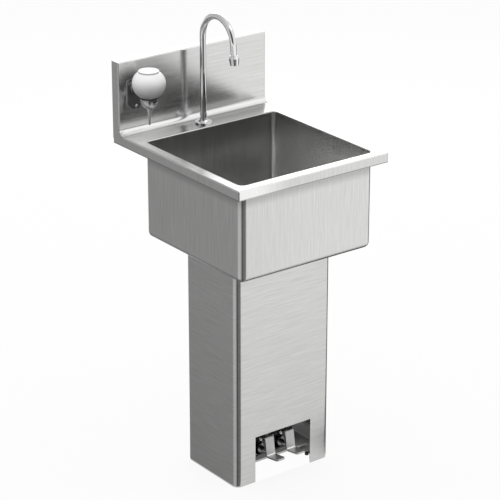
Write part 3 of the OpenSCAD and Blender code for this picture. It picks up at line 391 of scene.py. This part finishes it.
def painted_left_end_light(tree, place, to_back):
    """Painted light: the splash's face is brighter low at its left end."""
    width_span, height_span, gain = (-0.2, -0.06), (0.95, 1.02), 0.42
    to_front = (-0.95, -0.8)
    x, _, z = place
    left_end = times(tree, map_range(tree, x, *width_span, gain, 0.0),
                     map_range(tree, z, *height_span, 1.0, 0.0))
    return times(tree, left_end, map_range(tree, to_back, *to_front, 1.0, 0.0))


def deck_shade(tree, coords):
    """The deck, its rim and the splash: darker along the rim's lower edge, the three painted places
    above and painted highlights on the bends.
    """
    edge_rise, edge_tone = (0.0015, 0.003), 0.5
    left, front, rim_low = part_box("deck_and_splash")[0]
    place = split(tree, coords.outputs["Object"])
    _, to_back, up = split(tree, coords.outputs["Normal"])
    shade = map_range(tree, place[2], *(rim_low + rise for rise in edge_rise), edge_tone, 1.0)
    shade = minus(tree, shade, painted_rim_gap_shade(tree, place, left, front))
    shade = minus(tree, shade, painted_ledge_shade(tree, place, up))
    shade = plus(tree, shade, painted_left_end_light(tree, place, to_back))
    return times(tree, shade, painted_bend_highlight(tree, coords, DECK_BEND_HIGHLIGHT))


print("bowl and deck shades ready, the rim turns at", RIM_TURNS_AT)

# %% [markdown]
# ## Painted light and shade on the pedals, the pedestal and the shelf
#
# The pedals' inner bend has a painted highlight, their faces that look to the front have painted
# shade, and the tread is darker along its lower edge. The pedestal has painted shade near the floor,
# and the shelf's top has painted light.

# %% Shading of the pedals, the pedestal and the shelf
def pedal_shade(tree, coords):
    """The pedals have a painted highlight on the inner bend, painted shade on the faces that look to the
    front and a darker line all round the tread's lower edge.
    """
    edge_rise, edge_tone = (0.0006, 0.0018), 0.55
    to_front, front_shade_tone = (-0.9, -0.6), 0.72
    bend_rise, bend_highlight = (0.015, 0.03), 1.4
    low_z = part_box("hot_pedal")[0][2]
    z = split(tree, coords.outputs["Object"])[2]
    to_back = split(tree, coords.outputs["Normal"])[1]
    under = map_range(tree, z, *(low_z + rise for rise in edge_rise), edge_tone, 1.0)
    edge = times(tree, under, map_range(tree, to_back, *to_front, front_shade_tone, 1.0))
    gain = map_range(tree, z, *(low_z + rise for rise in bend_rise), bend_highlight, 1.0)
    return times(tree, edge, painted_bend_highlight(tree, coords, gain))


def pedestal_shade(tree, coords):
    """Painted shade: the pedestal's sheet is a little darker near the floor."""
    height_span, near_floor_shade, high_tone = (0.05, 0.5), 0.9, 1.03
    z = split(tree, coords.outputs["Object"])[2]
    return map_range(tree, z, *height_span, near_floor_shade, high_tone, "LINEAR")


def shelf_shade(tree, coords):
    """Painted light on the shelf's top, which is brighter than its lip."""
    level, top_painted_light = (0.6, 0.9), 1.5
    up = split(tree, coords.outputs["Normal"])[2]
    return map_range(tree, up, *level, 1.0, top_painted_light)


print("pedal, pedestal and shelf shades ready")

# %% [markdown]
# ## The five steels
#
# The deck, the bowl and the pedestal are polished alike, but with the belt in different directions.
# The pedals are worn matt by shoes, and the shelf keeps the pale, matt skin that it had from the mill.

# %% Make the five steels
deck_steel = brushed_steel("deck_steel", "X", "Y", deck_shade, tone=0.7, streaks=0.3,
                           rim_z=RIM_TURNS_AT)
bowl_steel = brushed_steel("bowl_steel", "Z", "X", bowl_shade, tone=0.7, streaks=0.34)
pedestal_steel = brushed_steel("pedestal_steel", "X", "Y", pedestal_shade, tone=0.62, streaks=0.34)
pedal_steel = brushed_steel("pedal_steel", "X", "Z", pedal_shade, tone=0.68, streaks=0.2,
                            roughness=0.4)
shelf_steel = brushed_steel("shelf_steel", "X", "Y", shelf_shade, tone=0.6, streaks=0.3,
                            roughness=0.45, metallic=0.4)
print("steels:", [m.name for m in (deck_steel, bowl_steel, pedestal_steel, pedal_steel, shelf_steel)])

# %% [markdown]
# ## Chrome, brass, copper, rubber and spring steel
#
# The small pieces are turned, cast, drawn or moulded, and each comes out of its own bath or die. None
# of them has a grain, but none is quite even either: plating, casting skin and rubber drift a little
# in tone and gloss. One recipe with a soft cloud in it serves for all of them.

# %% Finishes with a soft drift in tone and gloss
def cloudy(name, colour, spread, roughness, rough_spread, scale, **constants):
    """A finish whose colour and roughness drift a little from place to place. The two spreads say
    how far they drift, and scale says how fine the clouds are."""
    material, tree, shader = new_material(name, **constants)
    place = add(tree, "ShaderNodeTexCoord").outputs["Object"]
    noise = add(tree, "ShaderNodeTexNoise", Vector=place, Scale=scale, Detail=4.0)
    drift = minus(tree, noise.outputs[0], 0.5)
    tone = plus(tree, times(tree, drift, spread), 1.0)
    tree.links.new(scaled(tree, colour, tone), shader.inputs["Base Color"])
    rough = math_node(tree, "ADD", times(tree, drift, rough_spread), roughness, clamp=True)
    tree.links.new(rough, shader.inputs["Roughness"])
    return material


chrome = cloudy("polished_chrome", (0.84, 0.84, 0.85), 0.02, 0.05, 0.03, 40, Metallic=1.0)
smoky_chrome = cloudy("smoky_chrome", (0.55, 0.55, 0.56), 0.02, 0.08, 0.03, 40, Metallic=1.0)
# The valve's chrome is painted dark: painted shade for its place inside the pedestal.
painted_shade_chrome = cloudy("painted_shade_chrome", (0.2, 0.2, 0.21), 0.3, 0.22, 0.1, 70, Metallic=1.0)
dull_brass = cloudy("dull_brass", (0.55, 0.42, 0.2), 0.3, 0.38, 0.2, 60, Metallic=1.0)
copper = cloudy("drawn_copper", (0.72, 0.42, 0.28), 0.2, 0.3, 0.2, 50, Metallic=1.0)
rubber = cloudy("black_rubber", (0.025, 0.025, 0.025), 0.3, 0.7, 0.1, 80)
pin_steel = cloudy("pin_steel", (0.9, 0.9, 0.9), 0.1, 0.5, 0.1, 60, Metallic=0.2)
wire = cloudy("spring_wire", (0.55, 0.55, 0.56), 0.1, 0.25, 0.1, 60, Metallic=1.0)
print("small finishes:", [m.name for m in (chrome, smoky_chrome, painted_shade_chrome, dull_brass, copper, rubber,
                                           pin_steel, wire)])

# %% [markdown]
# ## The soap dispenser's plastics and enamel
#
# The cap is moulded white plastic, with painted shade on its side. The globe is opal plastic, with
# painted light and shade: nearly white at the shoulder and grey at the bottom. The plate behind it is
# enamelled black, and its thin sides have a painted highlight.

# %% White cap, opal globe and black plate
# The cap's side has painted shade, the globe's tones are painted light and shade from bottom to top, and
# the plate's thin sides have a painted highlight.
CAP_SIDE_SHADE, CAP_TOP = 0.42, 0.93
OPAL_LIGHT_AND_SHADE = [(0.0, 0.13), (0.2, 0.21), (0.42, 0.36), (0.62, 0.58), (0.8, 0.86), (1.0, 0.97)]
OPAL_ROUGHNESS = 0.14
ENAMEL_FACE, ENAMEL_SIDE_HIGHLIGHT = 0.06, 0.2


def paint_grey(tree, shader, tone):
    """Gives the shader the same tone in red, green and blue."""
    colour = add(tree, "ShaderNodeCombineXYZ", X=tone, Y=tone, Z=tone)
    tree.links.new(colour.outputs[0], shader.inputs["Base Color"])


def white_plastic():
    """A white moulded cap with painted shade on its side, which is darker than its top."""
    material, tree, shader = new_material("white_plastic", Roughness=0.35)
    coords = add(tree, "ShaderNodeTexCoord")
    up = split(tree, coords.outputs["Normal"])[2]
    noise = add(tree, "ShaderNodeTexNoise", Vector=coords.outputs["Object"], Scale=60.0, Detail=3.0)
    drift = plus(tree, times(tree, noise.outputs[0], 0.04), 0.98)
    tone = map_range(tree, size_of(tree, up), 0.3, 0.8, CAP_SIDE_SHADE, CAP_TOP)
    paint_grey(tree, shader, times(tree, tone, drift))
    return material


def opal_plastic():
    """Painted light and shade: white at the shoulder and grey at the bottom."""
    material, tree, shader = new_material("opal_plastic")
    place = add(tree, "ShaderNodeTexCoord").outputs["Object"]
    low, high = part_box("soap_globe")[0][2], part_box("soap_globe")[1][2]
    share = map_range(tree, split(tree, place)[2], low, high, 0.0, 1.0, "LINEAR")
    ramp = add(tree, "ShaderNodeValToRGB", Fac=share)
    ramp.color_ramp.interpolation = "B_SPLINE"
    set_stops(ramp, [(at, grey(tone)) for at, tone in OPAL_LIGHT_AND_SHADE])
    tree.links.new(ramp.outputs[0], shader.inputs["Base Color"])
    noise = add(tree, "ShaderNodeTexNoise", Vector=place, Scale=30.0, Detail=4.0)
    rough = plus(tree, times(tree, noise.outputs[0], 0.08), OPAL_ROUGHNESS)
    tree.links.new(rough, shader.inputs["Roughness"])
    return material


def enamelled_plate():
    """Dark enamel on the face, with a painted highlight on the thin sides."""
    material, tree, shader = new_material("black_enamel", Roughness=0.35)
    coords = add(tree, "ShaderNodeTexCoord")
    noise = add(tree, "ShaderNodeTexNoise", Vector=coords.outputs["Object"], Scale=60.0, Detail=4.0)
    to_back = split(tree, coords.outputs["Normal"])[1]
    side = math_node(tree, "LESS_THAN", size_of(tree, to_back), 0.8)
    tone = plus(tree, times(tree, side, ENAMEL_SIDE_HIGHLIGHT), ENAMEL_FACE)
    paint_grey(tree, shader, times(tree, tone, plus(tree, noise.outputs[0], 0.5)))
    return material


white_cap, opal, enamel = white_plastic(), opal_plastic(), enamelled_plate()
print("dispenser finishes:", [m.name for m in (white_cap, opal, enamel)])

# %% [markdown]
# ## Dressing the imported pieces
#
# Each piece takes the finish of its material, as a workshop picks it from the rack. A few pieces have
# a finish of their own, because they are folded or plated in another way than the rest. The valve in
# the pedestal takes chrome painted dark, as painted shade.

# %% Give every imported piece its finish
FINISH = {
    "deck_and_splash": deck_steel, "bowl": bowl_steel,
    "hot_pedal": pedal_steel, "cold_pedal": pedal_steel,
    "valve_shelf": shelf_steel, "hinge_pins": pin_steel,
    # The valve and its bonnets take the chrome painted dark for the shade inside the pedestal.
    "valve_body": painted_shade_chrome, "hot_bonnet": painted_shade_chrome, "cold_bonnet": painted_shade_chrome,
    "soap_valve_bell": smoky_chrome, "soap_plunger": smoky_chrome, "dispenser_screws": smoky_chrome,
}
BY_SLOT = {
    "stainless": pedestal_steel, "spring_steel": wire, "chrome": chrome, "brass": dull_brass,
    "copper_tube": copper, "black_rubber": rubber, "black_enamel": enamel, "opal_plastic": opal,
    "white_plastic": white_cap,
}
for part in frame["record"]["subparts"]:
    node = nodes[part["node"]]
    node.data.materials.clear()
    node.data.materials.append(FINISH.get(part["node"], BY_SLOT[part["material_slot"]]))

# %% [markdown]
# ## The soap globe
#
# The real globe is blown plastic: a ball whose shoulder is pressed a little flatter than its belly,
# with a flat seat for the cap. A ball is squeezed above its middle, cut at the seat and at the bottom,
# and the edge of the cut is drawn inwards to make the seat. Solidify gives it its wall.

# %% Model the soap globe
GLOBE_SEGMENTS, GLOBE_RINGS = 96, 64
GLOBE_WALL = 0.0025
GLOBE_Z = 1.010
SHOULDER_SQUEEZE = 0.86
SEAT_ABOVE_MIDDLE = 0.0282
SEAT_RADIUS = 0.027
SEAT_IN = 0.0045
JUST_ABOVE = 0.0001
GLOBE_SHARP_EDGE = math.radians(40)


def deselect_all():
    for thing in bpy.context.selected_objects:
        thing.select_set(False)


def to_world(piece):
    """Moves a piece's place and size into its mesh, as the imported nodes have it."""
    deselect_all()
    piece.select_set(True)
    bpy.context.view_layer.objects.active = piece
    bpy.ops.object.transform_apply(location=True, rotation=True, scale=True)


def apply_modifiers(piece):
    bpy.context.view_layer.objects.active = piece
    for modifier in list(piece.modifiers):
        bpy.ops.object.modifier_apply(modifier=modifier.name)


globe_low, globe_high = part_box("soap_globe")
globe_r = (globe_high[0] - globe_low[0]) / 2
middle = ((globe_low[0] + globe_high[0]) / 2, (globe_low[1] + globe_high[1]) / 2, GLOBE_Z)
seat = (middle[0], middle[1], GLOBE_Z + SEAT_ABOVE_MIDDLE)
narrower = 1 - SEAT_IN / SEAT_RADIUS
deselect_all()
bpy.ops.mesh.primitive_uv_sphere_add(segments=GLOBE_SEGMENTS, ring_count=GLOBE_RINGS,
                                     radius=globe_r, location=middle)
globe = bpy.context.active_object
globe.name = "soap_globe_shell"
to_world(globe)
bpy.ops.object.mode_set(mode="EDIT")
bpy.ops.mesh.select_all(action="DESELECT")
bpy.ops.object.mode_set(mode="OBJECT")
for vertex in globe.data.vertices:
    vertex.select = vertex.co.z > GLOBE_Z + JUST_ABOVE
bpy.ops.object.mode_set(mode="EDIT")
bpy.ops.transform.resize(value=(1, 1, SHOULDER_SQUEEZE), center_override=middle)
bpy.ops.mesh.select_all(action="SELECT")
bpy.ops.mesh.bisect(plane_co=seat, plane_no=(0, 0, 1), clear_outer=True)
bpy.ops.mesh.extrude_region_move()
bpy.ops.transform.resize(value=(narrower, narrower, 1), center_override=seat)
bpy.ops.mesh.select_all(action="SELECT")
bpy.ops.mesh.bisect(plane_co=globe_low, plane_no=(0, 0, -1), clear_outer=True, use_fill=True)
bpy.ops.mesh.select_all(action="SELECT")
bpy.ops.mesh.normals_make_consistent(inside=False)
bpy.ops.object.mode_set(mode="OBJECT")
wall = globe.modifiers.new("wall", "SOLIDIFY")
wall.thickness = GLOBE_WALL
wall.offset = -1
apply_modifiers(globe)
bpy.ops.object.shade_smooth_by_angle(angle=GLOBE_SHARP_EDGE)
globe.data.materials.append(opal)
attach(globe, "base")
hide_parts("soap_globe")
print("globe:", len(globe.data.polygons), "faces, radius", round(globe_r, 4))

# %% [markdown]
# ## The springs
#
# Each pedal is pushed back by a coil spring between the bonnet's nose and a collar on the stem, and a
# third spring sits under the soap plunger. The real ones are wound round a mandrel. A small circle is
# swept round an axis by a Screw modifier, which is the same motion, and its two ends are closed.

# %% Wind the three springs
WIRE_SIDES = 10
TURN_STEPS = 36
WIRE_SHARP_EDGE = math.radians(50)
STEM_WIRE, STEM_TRAVEL = 0.0006, 0.0081
PLUNGER_WIRE, PLUNGER_TRAVEL = 0.00045, 0.006


def close_ends():
    """Puts a face on each open end of the wire that has just been wound."""
    bpy.ops.object.mode_set(mode="EDIT")
    bpy.ops.mesh.select_all(action="DESELECT")
    bpy.ops.mesh.select_mode(type="EDGE")
    bpy.ops.mesh.select_non_manifold(extend=False)
    bpy.ops.mesh.edge_face_add()
    bpy.ops.mesh.select_all(action="SELECT")
    bpy.ops.mesh.normals_make_consistent(inside=False)
    bpy.ops.object.mode_set(mode="OBJECT")


def wind_spring(name, node, axis, turns, thick, travel):
    """Winds a coil that fills the node's box along the axis, and prints the share of its length that the
    travel leaves.
    """
    low, high = (Vector(corner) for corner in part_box(node))
    middle = (low + high) / 2
    along = "XYZ".index(axis)
    length = high[along] - low[along]
    coil_radius = (high[0] - low[0]) / 2 - thick
    deselect_all()
    bpy.ops.mesh.primitive_circle_add(vertices=WIRE_SIDES, radius=thick,
                                      location=(coil_radius, 0, thick), rotation=(math.pi / 2, 0, 0))
    spring = bpy.context.active_object
    spring.name = name
    to_world(spring)
    winding = spring.modifiers.new("winding", "SCREW")
    winding.iterations = turns
    winding.screw_offset = (length - 2 * thick) / turns
    winding.steps = winding.render_steps = TURN_STEPS
    apply_modifiers(spring)
    close_ends()
    if axis == "Y":
        spring.rotation_euler = (-math.pi / 2, 0, 0)
    spring.location = [low[i] if i == along else middle[i] for i in range(3)]
    to_world(spring)
    bpy.ops.object.shade_smooth_by_angle(angle=WIRE_SHARP_EDGE)
    spring.data.materials.append(wire)
    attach(spring, "base")
    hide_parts(node)
    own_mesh(spring)
    print(name, len(spring.data.polygons), "faces,", round(length * 1000, 1), "mm long, keeps",
          round(1 - travel / length, 2))


wind_spring("hot_spring_coil", "hot_return_spring", "Y", 4, STEM_WIRE, STEM_TRAVEL)
wind_spring("cold_spring_coil", "cold_return_spring", "Y", 4, STEM_WIRE, STEM_TRAVEL)
wind_spring("plunger_spring_coil", "plunger_spring", "Z", 3, PLUNGER_WIRE, PLUNGER_TRAVEL)

# %% [markdown]
# ## The studio floor
#
# Polished steel shows its surroundings more than itself, so the studio is built for the reflections.
# The floor is a white paper sweep: white in the camera's eye and in the metal's, and it keeps a soft
# shadow. Inside the pedestal it is a little whiter still, as in the photo, and only its corner beside
# the right wall lies in real shade.

# %% Floor
FLOOR_SIZE = 40
FLOOR_LIFT = 0.88
FLOOR_LIFT_INSIDE = 0.97
DARK_CORNER_LOW, DARK_CORNER_HIGH = (0.112, -0.085), (0.1478, 0.07)


def ray_is_seen(tree):
    """1 for rays that end in the picture or in a reflection, 0 for rays that only carry light."""
    path = add(tree, "ShaderNodeLightPath").outputs
    seen = math_node(tree, "MAXIMUM", path["Is Camera Ray"], path["Is Glossy Ray"])
    return math_node(tree, "MAXIMUM", seen, path["Is Transmission Ray"])


def inside_box(tree, spot, low, high):
    """1 where the point lies between the low and high corners in X and Y."""
    spans = [times(tree, math_node(tree, "GREATER_THAN", spot[axis], low[axis]),
                   math_node(tree, "LESS_THAN", spot[axis], high[axis])) for axis in (0, 1)]
    return times(tree, *spans)


def lit_floor():
    """Pale paper. Where it is seen, white light is mixed in by lift, which keeps its shadows soft."""
    material, tree, shader = new_material("pale_floor", Base_Color=grey(0.85), Roughness=0.9)
    spot = split(tree, add(tree, "ShaderNodeTexCoord").outputs["Object"])
    under_sink = inside_box(tree, spot, *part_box("pedestal_shell"))
    lift = math_node(tree, "MAXIMUM", times(tree, under_sink, FLOOR_LIFT_INSIDE), FLOOR_LIFT)
    dark_corner = inside_box(tree, spot, DARK_CORNER_LOW, DARK_CORNER_HIGH)
    lift = times(tree, lift, minus(tree, 1.0, dark_corner))
    mix = add(tree, "ShaderNodeMixShader", Fac=times(tree, ray_is_seen(tree), lift))
    white = add(tree, "ShaderNodeEmission", Color=grey(1.0), Strength=1.0)
    tree.links.new(shader.outputs[0], mix.inputs[1])
    tree.links.new(white.outputs[0], mix.inputs[2])
    tree.links.new(mix.outputs[0], tree.nodes["Material Output"].inputs[0])
    return material


deselect_all()
bpy.ops.mesh.primitive_plane_add(size=FLOOR_SIZE)
floor = bpy.context.active_object
floor.name = "studio_floor"
floor.data.materials.append(lit_floor())
print("floor:", FLOOR_SIZE, "m wide, lift", FLOOR_LIFT)

# %% [markdown]
# ## The room around the sink
#
# The background is plain white to the eye, but the metal sees a room: a little brighter in front on
# the right, and dark in one place in front on the left, as the room behind a camera is. The chrome
# shows that place as its dark line.

# %% World
WORLD_LIGHT = 0.7
WORLD_SIDE = 0.22
BRIGHT_SIDE = (0.6, -0.8, 0.0)
DARK_PLACE = Vector((-0.6, -0.7, 0.3)).normalized()
DARK_PLACE_LIGHT = 0.1

world = bpy.data.worlds.new("studio_world")
world.use_nodes = True
scene.world = world
room = world.node_tree
sky = room.nodes["Background"]
sky.inputs[0].default_value = grey(1.0)
way = add(room, "ShaderNodeTexCoord").outputs["Generated"]
level = plus(room, times(room, dot(room, way, BRIGHT_SIDE), WORLD_SIDE), WORLD_LIGHT)
dark_place = map_range(room, dot(room, way, DARK_PLACE), 0.8, 0.93, 1.0, DARK_PLACE_LIGHT)
in_metal = add(room, "ShaderNodeLightPath").outputs["Is Glossy Ray"]
strength = add(room, "ShaderNodeMix", Factor=in_metal)
fill(room, strength.inputs[2], 1.0)
fill(room, strength.inputs[3], times(room, level, dark_place))
room.links.new(strength.outputs[0], sky.inputs[1])
print("world:", WORLD_LIGHT, "in the metal, 1.0 to the eye")

# %% [markdown]
# ## Softboxes
#
# One softbox behind on the right gives the level deck its bright top. A second one, high in front on
# the right, shines only on the spout, the soap valve, the pedals and the hinge pins, and gives them
# their small bright points, as a photographer does with a hand-held lamp.

# %% Softboxes
LAMP_AIM = (0, 0, 0.9)
POLISHED = ("gooseneck", "spout_flange", "spout_collar", "aerator_shell", "soap_valve_bell",
            "soap_plunger", "hot_pedal", "cold_pedal", "hinge_pins")


def softbox(name, place, size, radiance):
    """An area lamp; radiance 1 looks as bright as white paper."""
    data = bpy.data.lights.new(name, "AREA")
    data.shape = "RECTANGLE"
    data.size, data.size_y = size
    data.energy = radiance * math.pi * size[0] * size[1]
    lamp = bpy.data.objects.new(name, data)
    scene.collection.objects.link(lamp)
    lamp.location = place
    lamp.rotation_euler = (Vector(LAMP_AIM) - Vector(place)).to_track_quat("-Z", "Y").to_euler()
    lamp.visible_camera = False
    return lamp


softbox("back_softbox", (2.0, 2.6, 2.25), (2.6, 1.6), 1.75)
sparkle = softbox("sparkle_softbox", (1.4, -0.9, 3.0), (1.1, 1.1), 2.6)
polished = bpy.data.collections.new("polished_pieces")
for name in POLISHED:
    polished.objects.link(nodes[name])
sparkle.light_linking.receiver_collection = polished

# %% [markdown]
# ## Grey cards
#
# Photographers darken a white studio with grey cards. Here they lie on the floor as soft-edged fans
# round the sink's two front corners, and only reflections see them: the left faces, the round corners
# and the chrome get their dark lines from them. A soft card lies beside the sink on the right, and a
# dark one fills the floor inside the pedestal.

# %% Grey cards that only reflections see
FAN_SIZE = (12, 12)
# Each stop of a fan is (degrees round its corner, grey, cover).
LEFT_FAN = [(-179.9, 0.62, 1), (-155, 0.6, 1), (-140, 0.24, 1), (-134, 0.22, 1), (-131, 0.03, 1),
            (-121, 0.03, 1), (-118, 0.2, 1), (-70, 0.2, 1), (-60, 0.5, 0), (84, 0.3, 0),
            (90, 0.3, 1), (145, 0.34, 1), (156, 0.6, 1), (179.9, 0.62, 1)]
RIGHT_FAN = [(-179.9, 0.1, 0), (-14, 0.1, 0), (-2, 0.06, 1), (80, 0.08, 1), (90, 0.1, 0),
             (179.9, 0.1, 0)]


def lay_card(name, place, size, look):
    """A card at a place. look makes its grey and its cover, which is 0 where nothing shows."""
    material = bpy.data.materials.new(name)
    material.use_nodes = True
    tree = material.node_tree
    tree.nodes.remove(tree.nodes["Principled BSDF"])
    colour, cover = look(tree)
    mix = add(tree, "ShaderNodeMixShader", Fac=cover)
    tree.links.new(add(tree, "ShaderNodeBsdfTransparent").outputs[0], mix.inputs[1])
    paint = add(tree, "ShaderNodeEmission", Color=colour, Strength=1.0)
    tree.links.new(paint.outputs[0], mix.inputs[2])
    tree.links.new(mix.outputs[0], tree.nodes["Material Output"].inputs[0])
    deselect_all()
    bpy.ops.mesh.primitive_plane_add(size=1, location=place)
    card = bpy.context.active_object
    card.name = name
    card.scale = (size[0], size[1], 1)
    card.data.materials.append(material)
    card.visible_camera = card.visible_diffuse = card.visible_shadow = card.visible_transmission = False


def fan(name, corner, stops):
    """A fan of grey cards round a corner of the sink, blended by compass angle."""
    def look(tree):
        turn = add(tree, "ShaderNodeTexGradient", {"gradient_type": "RADIAL"},
                   Vector=add(tree, "ShaderNodeTexCoord").outputs["Object"])
        ramp = add(tree, "ShaderNodeValToRGB", Fac=turn.outputs[1])
        set_stops(ramp, sorted((((degrees + 180) % 360) / 360, grey(tone, cover))
                               for degrees, tone, cover in stops))
        return tuple(ramp.outputs)

    lay_card(name, corner, FAN_SIZE, look)


def patch(name, place, size, tone, soft):
    """A grey card with soft edges; soft is their width as a share of the card."""
    def look(tree):
        spot = split(tree, add(tree, "ShaderNodeTexCoord").outputs["Object"])
        spans = [map_range(tree, size_of(tree, spot[axis]), 0.5 - soft, 0.5, 1.0, 0.0)
                 for axis in (0, 1)]
        return grey(tone), times(tree, *spans)

    lay_card(name, place, size, look)


fan("left_fan", (-0.142, -0.137, 0.003), LEFT_FAN)
fan("right_fan", (0.142, -0.137, 0.004), RIGHT_FAN)
patch("near_flag", (0.5, 0.15, 0.005), (0.8, 1.0), 0.1, 0.2)
# A dark card seen only in reflections: painted shade for the floor inside the pedestal, which is white
# to the eye.
patch("inner_shade_card", (0, -0.0375, 0.006), (0.29, 0.206), 0.12, 0.02)
